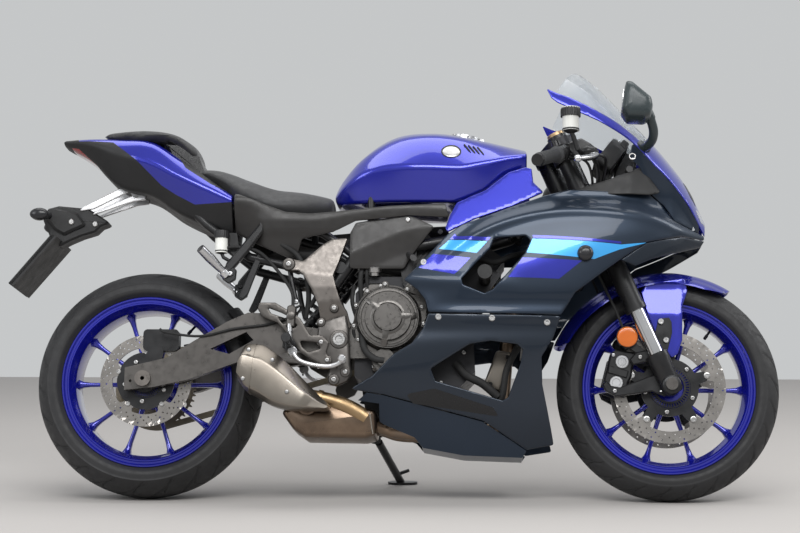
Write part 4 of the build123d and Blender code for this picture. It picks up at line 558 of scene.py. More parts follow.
def to_edge(p, outline):
    best = 1e9
    for a, b in zip(outline, outline[1:] + outline[:1]):
        ab = b - a
        t = max(0.0, min(1.0, (p - a).dot(ab) / max(1e-9, ab.length_squared)))
        best = min(best, (p - a - ab * t).length_squared)
    return sqrt(best)


def in_sheet(p, loops):
    """Whether a place lies inside the first loop and outside the others."""
    return is_inside(p, loops[0]) and not any(is_inside(p, hole) for hole in loops[1:])


def panel(
    name, outline, lift, look, slot, node=None, body="chassis", holes=(), thick=3.0, step=9.0, roll=2.5,
    offset=0.0, corner=6.0, both=False, smooth=50,
):
    """Sheet of this outline in a flat domain, lifted onto a surface, with rolled edges and its thickness inside."""
    loops = [spaced(rounded(o, corner), step) for o in (outline,) + tuple(holes)]
    points, edges, edge_room = [], [], []
    for loop in loops:
        base = len(points)
        points += loop
        edge_room += [0.0] * len(loop)
        edges += [(base + k, base + (k + 1) % len(loop)) for k in range(len(loop))]
    for rim in (roll * 0.35, roll * 1.1) if roll else ():
        for number, loop in enumerate(loops):
            for p in inset_outline(loop, -rim if number else rim):
                if in_sheet(p, loops) and min(to_edge(p, o) for o in loops) > rim * 0.8:
                    points.append(p)
                    edge_room.append(rim)
    xs, ys = [p.x for p in loops[0]], [p.y for p in loops[0]]
    y = min(ys) + step / 2
    row = 0
    while y < max(ys):
        x = min(xs) + (step / 2 if row % 2 else step)
        while x < max(xs):
            p = Vector((x, y))
            if in_sheet(p, loops):
                room = min(to_edge(p, o) for o in loops)
                if room > max(step * 0.5, roll * 1.5):
                    points.append(p)
                    edge_room.append(room)
            x += step
        y += step * 0.87
        row += 1
    verts, _, tris, origins, _, _ = delaunay_2d_cdt(points, edges, [], 1, 1e-4)
    tris = [t for t in tris if in_sheet(sum((verts[k] for k in t), Vector((0, 0))) / len(t), loops)]
    outer, inner = [], []
    h = 0.5
    for p, origin in zip(verts, origins):
        room = edge_room[origin[0]] if origin else 0.0
        here = Vector(lift(p.x, p.y))
        along = Vector(lift(p.x + h, p.y)) - Vector(lift(p.x - h, p.y))
        normal = along.cross(Vector(lift(p.x, p.y + h)) - Vector(lift(p.x, p.y - h)))
        normal = normal.normalized() if normal.length > 1e-9 else Vector(RIGHT)
        fall = 0.0
        if roll and room < roll:
            fall = roll - sqrt(max(0.0, roll * roll - (roll - room) ** 2))
        outer.append(here + normal * (offset - fall))
        inner.append(here + normal * (offset - max(thick, fall + 0.3)))
    kit = Kit()
    kit.points = outer + inner
    count = len(verts)
    kit.faces = [tuple(t) for t in tris] + [tuple(count + k for k in reversed(t)) for t in tris]
    used = dict.fromkeys((a, b) for t in tris for a, b in zip(t, t[1:] + t[:1]))
    kit.faces += [(b, a, count + a, count + b) for a, b in used if (b, a) not in used]
    return kit.make(name, look, slot, node, body, smooth, both)


# ------------------------------------------------------------ fairing surface, lofted forms and cuts
FAIRING = (
    (530.0, ((70, 170), (150, 270), (168, 420), (150, 560))),
    (850.0, ((74, 112), (166, 250), (212, 520), (192, 740))),
    (1080.0, ((70, 104), (160, 230), (236, 600), (194, 818))),
    (1250.0, ((60, 300), (150, 400), (214, 670), (168, 832))),
    (1390.0, ((44, 480), (104, 560), (152, 692), (112, 806))),
    (1506.0, ((8, 640), (16, 680), (26, 712), (14, 742))),
)
CANOPY = (
    (1070.0, 200.0, 1050.0, 1216.0),
    (1185.0, 196.0, 990.0, 1155.0),
    (1300.0, 184.0, 922.0, 1038.0),
    (1400.0, 150.0, 836.0, 925.0),
    (1460.0, 98.0, 766.0, 842.0),
    (1506.0, 24.0, 702.0, 746.0),
)
CANOPY_EDGE = 300.0


def flank_at(rows, u, k):
    """Half width and height of a body's flank line k at a station."""
    return tuple(curve_value([(row[0], row[1][k][j]) for row in rows], u) for j in (0, 1))


def fairing_half(u, v):
    """Half width of the fairing at a side-view place."""
    rows = [flank_at(FAIRING, u, k)[::-1] for k in range(4)]
    if v > rows[-1][0]:
        return max(4.0, rows[-1][1] - (v - rows[-1][0]) * 1.6)
    return curve_value(rows, v)


def corner_line(corners, radii):
    """Open line with each inner corner rounded by its radius, always with the same number of points."""
    pts = [Vector(p) for p in corners]
    line = [pts[0]]
    for radius, before, p, after in zip(radii, pts, pts[1:], pts[2:]):
        a, b = before - p, after - p
        start = p + a.normalized() * min(radius, a.length * 0.48)
        line += corner_arc(p, start, p + b.normalized() * min(radius, b.length * 0.48))
    line.append(pts[-1])
    return line


def body_ring(rows, u, radii, inset=0.0):
    """Closed section of a body at a station, from rows of station, flank of (half width, height) and crown."""
    flank = [flank_at(rows, u, k) for k in range(len(rows[0][1]))]
    crown = curve_value([(row[0], row[2]) for row in rows], u)
    half, top = flank[-1]
    rise = max(1.0, crown - top)
    radius = (half * half + rise * rise) / (2 * rise)
    arc = [(half * k, crown - radius + sqrt(radius**2 - (half * k) ** 2)) for k in (0.66, 0.33)]
    right = corner_line([(0, flank[0][1])] + flank + arc + [(0, crown)], radii + (60, 60))
    ring = [(-x, z) for x, z in right] + [(x, z) for x, z in reversed(right[1:-1])]
    if inset:
        wide, low, high = max(x for x, _ in ring), flank[0][1], crown
        mid = (low + high) / 2
        fx, fz = max(0.02, 1 - inset / wide), max(0.02, 1 - 2 * inset / (high - low))
        ring = [(x * fx, mid + (z - mid) * fz) for x, z in ring]
    return [Vector((u, x, z)) for x, z in ring]


def body_loft(rows, radii, step, ends):
    """Closed body through the rows, its ends rounded off."""
    first, last = rows[0][0], rows[-1][0]
    length = last - first - sum(ends)
    fronts, backs = [[(end * (1 - sqrt(1 - t * t)), end * (1 - t)) for t in (k / 6 for k in range(6))]
        for end in ends]
    count = int(length / step)
    marks = [(first + along, inset) for along, inset in fronts]
    marks += [(first + ends[0] + length * k / count, 0.0) for k in range(count + 1)]
    marks += [(last - along, inset) for along, inset in reversed(backs)]
    kit = Kit()
    kit.rings([body_ring(rows, u, radii, inset) for u, inset in marks])
    return kit


def carve(obj, kit, kind):
    mesh = bpy.data.meshes.new("cutter")
    mesh.from_pydata([tuple(p) for p in kit.points], [], kit.faces)
    mesh.transform(UPRIGHT)
    cutter = bpy.data.objects.new("cutter", mesh)
    bpy.context.scene.collection.objects.link(cutter)
    finish_mesh(cutter)
    mod = obj.modifiers.new("cut", "BOOLEAN")
    mod.operation, mod.solver, mod.object = kind, "EXACT", cutter
    settle(obj)
    bpy.data.objects.remove(cutter)


def settle(obj):
    """Makes the modifiers' result the object's own mesh."""
    graph = bpy.context.evaluated_depsgraph_get()
    obj.data = bpy.data.meshes.new_from_object(obj.evaluated_get(graph))
    obj.modifiers.clear()


def canopy_at(u):
    """Crown, radius and full turn of the nose and screen at a station."""
    half, edge, crown = (curve_value([(row[0], row[k]) for row in CANOPY], u) for k in (1, 2, 3))
    rise = max(1.0, crown - edge)
    radius = (half * half + rise * rise) / (2 * rise)
    full = atan2(half, radius - rise) if radius > rise else pi - atan2(half, rise - radius)
    return crown, radius, full


def canopy_lift(u, s):
    """Point of the canopy: s runs from -300 at the right edge over 0 on the crown to 300 at the left edge."""
    crown, radius, full = canopy_at(u)
    turn = full * s / CANOPY_EDGE
    return (u, radius * sin(turn), crown - radius + radius * cos(turn))


def canopy_s(u, v):
    """Right-hand canopy coordinate of a side-view place."""
    crown, radius, full = canopy_at(u)
    turn = acos(max(-1.0, min(1.0, (v - crown + radius) / radius)))
    return -CANOPY_EDGE * min(1.0, turn / full)


# ------------------------------------------------------------ fairing
UPPER = ((691, 563), (805, 684), (843, 711), (975, 760), (1065, 791), (1130, 806), (1345, 804), (1383, 777),
    (1412, 736), (1500, 712), (1500, 700), (1430, 694), (1330, 664), (1255, 610), (1140, 522), (1103, 464),
    (880, 471), (757, 475), (749, 507), (728, 535))
UPPER_WINDOW = ((930, 672), (1012, 676), (1024, 662), (1008, 626), (926, 532), (905, 522), (848, 545), (844, 562),
    (878, 600), (918, 642))
LOWER = ((757, 472), (880, 468), (1103, 461), (1082, 403), (1053, 357), (1055, 286), (1069, 221), (1087, 137),
    (1016, 125), (900, 196), (640, 262), (550, 276), (610, 310), (665, 366), (713, 394), (745, 437))
LOWER_WINDOW = ((764, 327), (866, 390), (918, 398), (990, 388), (1004, 374), (998, 340), (966, 254), (952, 246),
    (776, 296))
CREST = ((760, 596), (907, 692), (1034, 733), (1161, 743), (1320, 733), (1439, 707), (1500, 704))


def fairing_skin(u, v):
    """Fairing surface with its shoulder crease, window returns and the dish under the seam."""
    half = fairing_half(u, v)
    gap = v - curve_value(CREST, u)
    half += unit((u - 780) / 120) * unit((1490 - u) / 60) * (7.0 * bell(gap - 4, 16) - 9.0 * bell(gap - 46, 26))
    half += 6.0 * bell(v - 560 + (u - 800) * 0.08, 22) * unit((1010 - u) / 150)
    half -= 6.0 * bell(v - 496, 22) * unit((u - 760) / 80)
    half -= 5.0 * bell(v - 432, 26)
    return (u, -half, v)


panel("upper_fairing_skin", UPPER, fairing_skin, "slate", "fairing_grey_blue", "upper_fairings",
    holes=(UPPER_WINDOW,), step=8.0, roll=3.0, both=True)
# the lower fairing takes the darker copy of the slate paint: painted shade
panel("lower_fairing_skin", LOWER, fairing_skin, "slate_painted_shade", "fairing_grey_blue", "lower_fairings",
    holes=(LOWER_WINDOW,), step=8.0, roll=3.0, both=True)
for name, look, outline in (
    ("stripe_rear_top", "blue", ((826, 686), (832, 679), (921, 673), (914, 664), (812, 671))),
    ("stripe_rear_cyan", "cyan", ((784, 645), (811, 669), (912, 662), (884, 631))),
    ("stripe_rear_block", "blue", ((731, 595), (770, 632), (868, 618), (826, 574))),
    ("stripe_front_line", "blue", ((1030, 676), (1262, 661), (1262, 655), (1032, 668))),
    ("stripe_front_cyan", "cyan", ((1030, 666), (1262, 653), (1335, 664), (1258, 640), (1190, 611), (1014, 628))),
    ("stripe_front_block", "blue", ((1004, 615), (1158, 606), (1098, 557), (966, 563))),
):
    panel(name, outline, fairing_skin, look, "body_blue", step=7.0, roll=0.0, thick=0.3, offset=0.45, corner=1.0,
        both=True)

# ------------------------------------------------------------ screen and nose
RIM_TOP = ((1096, 1072), (1132, 1060), (1159, 1047), (1212, 1021), (1266, 990), (1300, 964), (1322, 946))
RIM_FOOT = ((1070, 1084), (1083, 1056), (1099, 1043), (1158, 1016), (1211, 993), (1277, 954), (1317, 922),
    (1357, 875), (1398, 841), (1426, 810), (1455, 777), (1480, 737), (1500, 708))
right_top = [(u, canopy_s(u, v)) for u, v in RIM_TOP]
low_edge = right_top + [(1342, -165), (1352, -80), (1355, 0)]
low_edge += [(u, -s) for u, s in reversed(low_edge[:-1])]
panel("screen_glass", [(1186, 0.0)] + low_edge, canopy_lift, "screen", "screen", "windscreen", step=12.0, roll=1.5,
    corner=14.0, thick=2.6)
right_foot = [(u, canopy_s(u, v)) for u, v in RIM_FOOT]
rim = right_foot + [(1504, 0.0)] + [(u, -s) for u, s in reversed(right_foot)] + list(reversed(low_edge))
panel("nose_rim", rim, canopy_lift, "blue", "body_blue", "nose_cowl", roll=2.0, offset=0.6, corner=4.0)
for name, look, slot, outline in (
    ("nose_lamp_slits", "satin_black", "black_plastic", ((1440, -150), (1458, -192), (1474, -176), (1468, -120),
        (1448, -118))),
    ("position_lamps", "white_lens", "lamp_lens", ((1472, -232), (1488, -244), (1500, -170), (1493, -130),
        (1481, -172))),
):
    panel(name, outline, canopy_lift, look, slot, step=6.0, roll=0.6, thick=2.0, offset=1.3, corner=3.0, both=True)


def cheek_lift(u, v):
    """Inner cheek between the rim's foot and the top edge of the fairing."""
    high, low = curve_value(RIM_FOOT, u), curve_value(((1130, 806), (1345, 804), (1383, 777), (1412, 736),
        (1500, 700)), u)
    part = unit((v - low) / (high - low))
    upper, lower = canopy_lift(u, canopy_s(u, high))[1] * part, fairing_half(u, low) * (1 - part)
    return (u, upper - lower + 5.0 * sin(pi * part) + 2.0, v)


def nose_side_lift(u, v):
    return (u, -(176.0 - 0.28 * max(0.0, u - 1290) - 0.22 * (v - 800)), v)


panel("nose_cheeks", ((1298, 938), (1357, 878), (1398, 845), (1455, 781), (1482, 736), (1484, 716), (1412, 734),
    (1383, 776), (1350, 804), (1318, 874), (1290, 900)), cheek_lift, "slate", "fairing_grey_blue", step=7.0,
    roll=1.5, both=True)
panel("nose_side_panels", ((1130, 804), (1192, 826), (1237, 841), (1290, 862), (1318, 876), (1345, 848),
    (1374, 806), (1340, 798), (1200, 796)), nose_side_lift, "black_plastic", "black_plastic", "nose_panels",
    roll=2.0, corner=8.0, both=True)

kit = Kit()
kit.lathe((1404, 0, 762), (0.978, 0, -0.207), ((0, 30), (6, 36), (60, 36), (66, 34.5), (71, 28), (74, 16),
    (75, TIP)), 40)
for inner, outer in ((-60, -74), (60, 74)):
    strip = ((1420, 790), (1446, 762), (1470, 722), (1462, 716), (1436, 746), (1412, 784))
    kit.layers(strip, ((inner, 0.0), (outer, 0.0)))
kit.make("headlamp_units", "white_lens", "lamp_lens", "headlamp")

# ------------------------------------------------------------ tank
TANK = (
    (497, ((58, 792), (72, 812), (52, 832)), 843),
    (560, ((104, 787), (130, 856), (92, 900)), 921),
    (650, ((128, 786), (160, 876), (116, 950)), 988),
    (760, ((136, 784), (178, 872), (130, 966)), 1003),
    (829, ((138, 784), (177, 870), (128, 960)), 997),
    (905, ((142, 814), (166, 888), (118, 946)), 981),
    (970, ((132, 858), (150, 906), (106, 938)), 965),
    (1018, ((122, 872), (137, 916), (96, 934)), 952),
)
kit = body_loft(TANK, (10, 12, 60), 12.0, (22.0, 6.0))
tank = kit.make("tank_body", "blue", "tank_plastic", "fuel_tank", smooth=42)
tilt = radians(8)
cap_up, cap_at = Vector((sin(tilt), 0, cos(tilt))), Vector((850, 0, 991))
well = Kit()
well.lathe(cap_at, cap_up, ((-6, 53), (40, 53)), 64)
carve(tank, well, "DIFFERENCE")
finish_mesh(tank, 42)


def side_panel_lift(u, v):
    edge = curve_value(((800, 694), (933, 761), (1062, 803)), u)
    return (u, -(151 + 26 * max(0.0, 1 - (v - edge) / 110)), v)


panel("tank_side_skin", ((806, 694), (800, 706), (812, 742), (830, 778), (907, 812), (968, 862), (1014, 876),
    (1030, 872), (1034, 832), (1062, 802), (975, 762), (880, 730)), side_panel_lift, "blue", "body_blue",
    "tank_side_panels", both=True)


def tank_flank(u, v, out=0.0):
    """Place on the upper flank of the tank, this far outside it."""
    (half, low), (top_half, top) = flank_at(TANK, u, 1), flank_at(TANK, u, 2)
    part = (v - low) / (top - low)
    slope = Vector((0, low - top, top_half - half)).normalized()
    return Vector((u, -(half + (top_half - half) * part), v)) + slope * out


def badge(kit, u, v, half, high, steps):
    """Oval boss on the tank flank: steps of (outward, scale)."""
    turns = [(cos(2 * pi * k / 40), sin(2 * pi * k / 40)) for k in range(40)]
    kit.rings([[tank_flank(u + half * s * x, v + high * s * y, out) for x, y in turns] for out, s in steps])


kit = Kit()
badge(kit, 815, 921, 27, 20, ((-3, 1), (1.2, 1), (2.2, 0.95), (2.2, 0.86)))
for k in range(4):
    u, v = 858 + 12 * k, 933 - 2.5 * k
    kit.tube([tank_flank(u - 9 + 3 * j, v + 13 - 4.5 * j, 0.2) for j in range(7)], 2.6, 8,
        [0.5, 0.9, 1, 1, 1, 0.9, 0.5])
kit.make("tank_boss_rings_and_slots", "black_plastic", "black_plastic", both=True)
kit = Kit()
badge(kit, 815, 921, 23, 16.5, ((-3, 1), (2.6, 1), (3.4, 0.93), (3.8, 0.6), (3.9, 0.02)))
kit.make("tank_bosses", "steel", "bare_alloy", smooth=50, both=True)
kit = Kit()
cap_ahead = Vector((cos(tilt), 0, -sin(tilt)))
for k in range(7):
    turn = 2 * pi * (k + 0.5) / 7
    spot = cap_at + cap_ahead * 47.5 * cos(turn) + Vector((0, 47.5 * sin(turn), 0)) + cap_up * 1.5
    kit.bolt(spot, cap_up, 3.2, 2.4)
kit.make("filler_ring_bolts", "steel", "bare_alloy")
kit = Kit()
for u, v in ((784, 462), (924, 457), (1067, 445), (744, 610)):
    place = Vector(fairing_skin(u, v))
    kit.lathe(place + Vector((0, 1.5, 0)), RIGHT, ((0, 8.5), (2.6, 8.5), (4, 7.2), (4, 4.0), (2, 3.4), (2, TIP)),
        24)
kit.make("fairing_bolts", "steel", "bare_alloy", both=True)
panel("belly_slots", ((698, 263), (774, 277), (927, 229), (943, 207), (718, 240)), fairing_skin, "satin_black",
    "black_plastic", step=7.0, roll=0.0, thick=0.3, offset=0.5, corner=8.0, both=True)

# ------------------------------------------------------------ tyres, rim edges and discs
# wheels and tyres: rolling radius, rim width (3.5 and 5.5 inches) and radius of the rims' lips
FRONT_RADIUS, REAR_RADIUS = 297.0, 306.0
FRONT_RIM, REAR_RIM = 88.9, 139.7
LIP_RADIUS = 229
# one repeat of the tread: each groove's begin and end across the crown, start and sweep round it, and width
GROOVES = ((0.10, 0.86, 0.10, 0.95, 5.2), (0.40, 0.94, 0.62, 0.40, 4.2), (0.03, 0.34, 0.86, -0.24, 4.0))
GROOVE_DEPTH = 3.4


def tread_depth(turn, across, half, radius, units):
    """Depth of the grooves at an angle and a distance across the crown, mirrored side to side half a step on."""
    step = 2 * pi / units
    t = ((turn + (0.0 if across >= 0 else step / 2)) % step) / step
    depth = 0.0
    for begin, finish, start, sweep, width in GROOVES:
        k = (abs(across) / half - begin) / (finish - begin)
        if not 0.0 <= k <= 1.0:
            continue
        centre = start + sweep * k ** 1.35
        slope = sweep * 1.35 * k ** 0.35 * step * radius / ((finish - begin) * half)
        gap = (t - centre) % 1.0
        gap = min(gap, 1.0 - gap) * step * radius / sqrt(1 + slope * slope)
        taper = min(1.0, 6.0 * k, 6.0 * (1.0 - k))
        depth = max(depth, GROOVE_DEPTH * unit((width / 2 * (0.55 + 0.45 * taper) - gap) / 1.1))
    return depth


def road_tyre(name, node, body, centre, radius, width, rise, rim_width, units, turns):
    """Tubeless sport tyre: beads, ribbed sidewalls and a grooved round crown."""
    half, bead = width / 2 - 2, rim_width / 2
    crown = (half * half + rise * rise) / (2 * rise)
    edge = asin(half / crown)
    rows = []
    for k in range(57):
        turn = edge * (k / 28 - 1)
        rows.append((crown * sin(turn), radius - crown + crown * cos(turn), crown * turn))
    wall = []
    for k in range(1, 12):
        t = k / 12
        swell = sin(pi * t) * (width / 2 - (half + (bead - half) * t) + 1.0)
        rib = 0.6 if k in (3, 5, 8) else 0.0
        reach = radius - rise + (LIP_RADIUS + 1 - radius + rise) * t
        wall.append((half + (bead - half) * t + swell * 0.8 + rib, reach, None))
    wall += [(bead + 0.5, 228.5, None), (bead - 2, 226.0, None), (bead - 9, 222.0, None), (0.0, 219.5, None)]
    profile = [(-w, r, a) for w, r, a in reversed(wall[:-1])] + rows + wall
    rings = []
    for j in range(turns):
        angle = 2 * pi * j / turns
        ring = []
        for w, r, a in profile:
            if a is not None:
                r -= tread_depth(angle, a, crown * edge, radius, units)
            ring.append(Vector((centre.x + r * cos(angle), w, centre.z + r * sin(angle))))
        rings.append(ring)
    kit = Kit()
    kit.rings(rings, closed=True)
    kit.make(name, "tyre", "tyre", node, body=body, smooth=38)


road_tyre("front_tyre_tread", "front_tyre", "front_wheel", FRONT, FRONT_RADIUS, 120.0, 36.0, FRONT_RIM, 26, 780)
road_tyre("rear_tyre_tread", "rear_tyre", "rear_wheel", REAR, REAR_RADIUS, 180.0, 40.0, REAR_RIM, 22, 800)


def circle(radius, count, x=0.0, y=0.0):
    turns = [2 * pi * k / count for k in range(count)]
    return [(x + radius * cos(turn), y + radius * sin(turn)) for turn in turns]


FIRST_BUTTON = radians(18)


def scalloped(count, radius, reach, tab, wide, fall):
    """Circle with a tab at each of the fixings: outwards or, if negative, inwards."""
    line = []
    for k in range(count * 30):
        t = abs(((k / 30) + 0.5) % 1.0 - 0.5) * 2 * pi * radius / count
        out = reach + tab * unit((wide - t) / fall)
        turn = 2 * pi * k / (count * 30) + FIRST_BUTTON
        line.append((out * cos(turn), out * sin(turn)))
    return line


def brake_disc(name, node, body, centre, place, radius, inner, hub, fixings, both):
    """Drilled braking ring on buttons, with a black carrier inside it."""
    holes = [scalloped(fixings, inner, inner + 4.0, -18.0, 19.0, 7.0)]
    for reach, shift in ((inner + 12, 0.0), (inner + 20, 0.4), (inner + 28, 0.75)):
        for k in range(30):
            turn = 2 * pi * (k + shift) / 30
            holes.append(circle(2.3, 8, reach * cos(turn), reach * sin(turn)))

    def lift(x, z):
        return (centre.x + x, -place, centre.z + z)

    panel(name + "_ring", circle(radius, 120), lift, "disc", "disc_steel", node, body=body, holes=holes, thick=5.0,
        step=14.0, roll=0.0, offset=2.5, corner=0.01, both=both)
    outline = scalloped(fixings, 76, 77.0, inner - 88.0, 15.0, 5.0)
    windows = [circle(hub, 40)]
    panel(name + "_carrier", outline, lift, "black_steel", "black_steel", body=body, holes=windows, thick=7.0,
        roll=0.0, offset=4.6, corner=3.0, both=both)
    kit = Kit()
    size = 1.0 if both else 0.7
    for k in range(fixings):
        turn = 2 * pi * k / fixings + FIRST_BUTTON
        reach = inner - 7 - 1.5 / size
        spot = (centre.x + reach * cos(turn), -place - 4.6, centre.z + reach * sin(turn))
        kit.lathe(spot, RIGHT, ((0, 8.5 * size), (1.6, 8.5 * size), (2.2, 7.4 * size), (2.2, 4.6 * size),
            (0.8, 4.2 * size), (0.8, TIP)), 20)
        spot = (centre.x + (hub + 10) * cos(turn + 0.5), -place - 4.6, centre.z + (hub + 10) * sin(turn + 0.5))
        kit.bolt(spot, RIGHT, 6.5, 5.0)
    kit.make(name + "_buttons", "steel", "disc_steel", body=body, smooth=35, both=both)
    slots = []
    for k in range(44):
        turn, half = 2 * pi * k / 44, 0.035
        corners = ((hub - 13, -half), (hub - 13, half), (hub - 4, half), (hub - 4, -half))
        slots.append([(r * cos(turn + d), r * sin(turn + d)) for r, d in corners])
    panel(name + "_sensor_ring", circle(hub - 1, 72), lift, "black_steel", "black_steel", body=body,
        holes=[circle(hub - 18, 48)] + slots, thick=2.0, step=12.0, roll=0.0, offset=6.6, corner=0.01, both=both)


brake_disc("front_disc", "front_discs", "front_wheel", FRONT, 62.0, 149.0, 113.0, 56.0, 5, True)
brake_disc("rear_disc", "rear_disc", "rear_wheel", REAR, 88.0, 122.5, 86.0, 46.0, 5, False)


def hoop(kit, centre, profile, steps=144):
    """Closed section of (distance left, radius) turned about an axle."""
    kit.rings([[(x, w, z) for x, z in circle(r, steps, centre.x, centre.z)] for w, r in profile], closed=True)


# one spoke: (part of the way out, width, depth)
SPOKE = (
    (0.0, 30, 40), (0.06, 24, 34), (0.16, 17.5, 27), (0.35, 13.5, 22), (0.6, 11.5, 20), (0.8, 12.5, 21),
    (0.9, 17, 26), (0.96, 26, 34), (1.0, 40, 44),
)
VALVE = radians(54)


def squared(x):
    """Coordinate on the unit circle, pushed out towards a rounded square."""
    return abs(x) ** 0.7 * (1 if x > 0 else -1)


def cast_wheel(name, node, body, centre, rim_width, hub_half, bore):
    """Cast rim with rolled lips, a stepped inner edge, thin waisted spokes and a flanged hub."""
    bead = rim_width / 2
    lip = bead + 6
    kit = Kit()
    edge = [(bead, LIP_RADIUS), (bead + 1.5, 230), (lip - 1.5, 230), (lip, 228.5), (lip, 225), (lip - 2, 223),
        (lip - 4, 221), (lip - 4, 216), (lip - 2, 214), (lip - 2, 211), (lip - 5, 208.5), (lip - 10, 207),
        (bead - 20, 198), (bead - 26, 196.5)]
    well = [(bead - 24, 204.5), (bead - 14, 218.5), (bead, 218.5)]
    mirrored = [(-w, r) for w, r in edge[::-1] + well[::-1]]
    hoop(kit, centre, edge + mirrored + well)
    for k in range(10):
        turn = 2 * pi * k / 10
        out, along = Vector((cos(turn), 0, sin(turn))), Vector((-sin(turn), 0, cos(turn)))
        rings = []
        for t, wide, deep in SPOKE:
            middle = Vector((centre.x, 0, centre.z)) + out * (24 + (200.5 - 24) * t)
            ring = []
            for x, y in circle(1, 16):
                ring.append(middle + along * (wide / 2 * squared(x)) + Vector((0, deep / 2 * squared(y), 0)))
            rings.append(ring)
        kit.rings(rings)
    hub = [(-hub_half, bore), (-hub_half, 58), (-hub_half + 7, 58), (-hub_half + 12, 34), (-hub_half + 22, 28),
        (hub_half - 22, 28), (hub_half - 12, 34), (hub_half - 7, 58), (hub_half, 58), (hub_half, bore)]
    hoop(kit, centre, hub, 64)
    kit.make(name, "wheel_blue", "wheel_blue", node, body=body, smooth=42)
    seal = Kit()
    inside, outside = hub_half + 0.2, hub_half + 1.4
    for side in (-1, 1):
        profile = ((inside, 16), (inside, 23), (outside, 22.4), (outside, 16.6))
        hoop(seal, centre, [(side * w, r) for w, r in profile], 48)
    stem = Vector((centre.x + 199 * cos(VALVE), -8, centre.z + 199 * sin(VALVE)))
    down = Vector((-cos(VALVE), -0.5, -sin(VALVE))).normalized()
    seal.lathe(stem + down * -6, down, ((0, 6), (4, 6), (7, 3.4), (26, 3.4), (26, 4.6), (38, 4.4), (39, 3.2)), 14)
    seal.make(name + "_seals", "satin_black", "black_plastic", body=body, smooth=35)


cast_wheel("front_wheel_casting", "front_rim", "front_wheel", FRONT, FRONT_RIM, 56.0, 10.05)
cast_wheel("rear_wheel_casting", "rear_rim", "rear_wheel", REAR, REAR_RIM, 80.0, 12.55)

# ------------------------------------------------------------ tail, lamp and seats
TAIL = (
    (-262, ((24, 970), (36, 978), (26, 984)), 988),
    (-180, ((46, 922), (82, 962), (66, 980)), 985),
    (-100, ((62, 848), (110, 930), (92, 972)), 980),
    (0, ((76, 815), (130, 895), (108, 958)), 972),
    (70, ((84, 768), (138, 860), (112, 915)), 925),
    (225, ((92, 700), (146, 790), (130, 806)), 812),
)
TAIL_BLUE = ((-225, 996), (-214, 975), (-112, 963), (-41, 906), (27, 839), (68, 812), (121, 784), (228, 784),
    (228, 808), (166, 836), (118, 868), (94, 884), (74, 916), (52, 956), (50, 996))
TAIL_LAMP = ((-238, 962), (-226, 940), (-172, 900), (-125, 843), (-117, 848), (-163, 909), (-216, 956))

for name, look, slot, node, kind, outlines in (
    ("tail_cowl_skin", "blue", "body_blue", "tail_cowl", "INTERSECT", (TAIL_BLUE,)),
    ("tail_lamp_lens", "red_lens", "red_lens", "tail_lamp", "INTERSECT", (TAIL_LAMP,)),
    ("undertail_body", "black_plastic", "black_plastic", "undertail", "DIFFERENCE", (TAIL_BLUE, TAIL_LAMP)),
):
    tail = body_loft(TAIL, (14, 14, 26), 9.0, (6.0, 3.0)).make(name, look, slot, node)
    for outline in outlines:
        kit = Kit()
        kit.plate(outline, -300, 300)
        carve(tail, kit, kind)
    finish_mesh(tail)

RIDER_SEAT = (
    (112, ((60, 870), (80, 882), (58, 893)), 898),
    (180, ((94, 840), (120, 858), (84, 882)), 892),
    (260, ((112, 778), (140, 814), (104, 848)), 860),
    (340, ((116, 748), (144, 786), (108, 820)), 834),
    (420, ((104, 742), (130, 784), (96, 816)), 829),
    (492, ((60, 752), (78, 788), (50, 812)), 822),
)
PILLION_SEAT = (
    (-147, ((60, 978), (76, 984), (58, 991)), 996),
    (-50, ((84, 973), (102, 981), (80, 995)), 1001),
    (60, ((90, 963), (110, 973), (86, 983)), 990),
    (118, ((78, 902), (94, 926), (78, 944)), 953),
)

kit = Kit()
kit.plate(rounded(((20, 966), (96, 962), (124, 926), (142, 878), (150, 850), (96, 850), (60, 890), (40, 940)), 10,
    4), -84, 84, 7.0)
kit.make("seat_step", "satin_black", "black_plastic")


def padded_seat(name, node, rows, swell, limit):
    """Foam seat under its cover, swollen by cloth pressure and held within a limit in millimetres."""
    obj = body_loft(rows, (12, 26, 40), 12.0, (20.0, 14.0)).make(name, "seat", "seat_cover", node, smooth=60)
    remesh = obj.modifiers.new("voxels", "REMESH")
    remesh.mode, remesh.voxel_size = "VOXEL", 0.006
    settle(obj)
    start = [v.co.copy() for v in obj.data.vertices]
    cloth = obj.modifiers.new("cloth", "CLOTH")
    cloth.settings.use_pressure = True
    cloth.settings.uniform_pressure_force = swell
    cloth.settings.effector_weights.gravity = 0.0
    cloth.settings.tension_stiffness = 40.0
    for moment in range(1, 13):
        bpy.context.scene.frame_set(moment)
    settle(obj)
    for v, p in zip(obj.data.vertices, start):
        move = v.co - p
        if move.length > limit / 1000:
            v.co = p + move.normalized() * limit / 1000
    bpy.context.scene.frame_set(1)
    finish_mesh(obj, 60)


padded_seat("rider_seat_cover", "rider_seat", RIDER_SEAT, 2.0, 5.0)
padded_seat("pillion_seat_cover", "pillion_seat", PILLION_SEAT, 2.0, 4.0)

# ------------------------------------------------------------ front mudguard
def fender_lift(angle, s):
    """Mudguard surface: angle in tenths of a degree up from straight ahead, s in millimetres across."""
    turn = radians(angle / 10)
    drop = 39.0 * (abs(s) / 73.0) ** 2.2 + 5.0 * bell(abs(s) - 46, 7)
    reach = FRONT_RADIUS + 20 - drop + 6.0 * unit((angle - 1150) / 430)
    return (FRONT.x + reach * cos(turn), s, FRONT.z + reach * sin(turn))


def mudguard_cheek_lift(u, v):
    return (u, -(71.5 + 11.0 * unit((560 - v) / 70) + 3.0 * bell(u - 1424 + (480 - v) * 0.04, 7)), v)


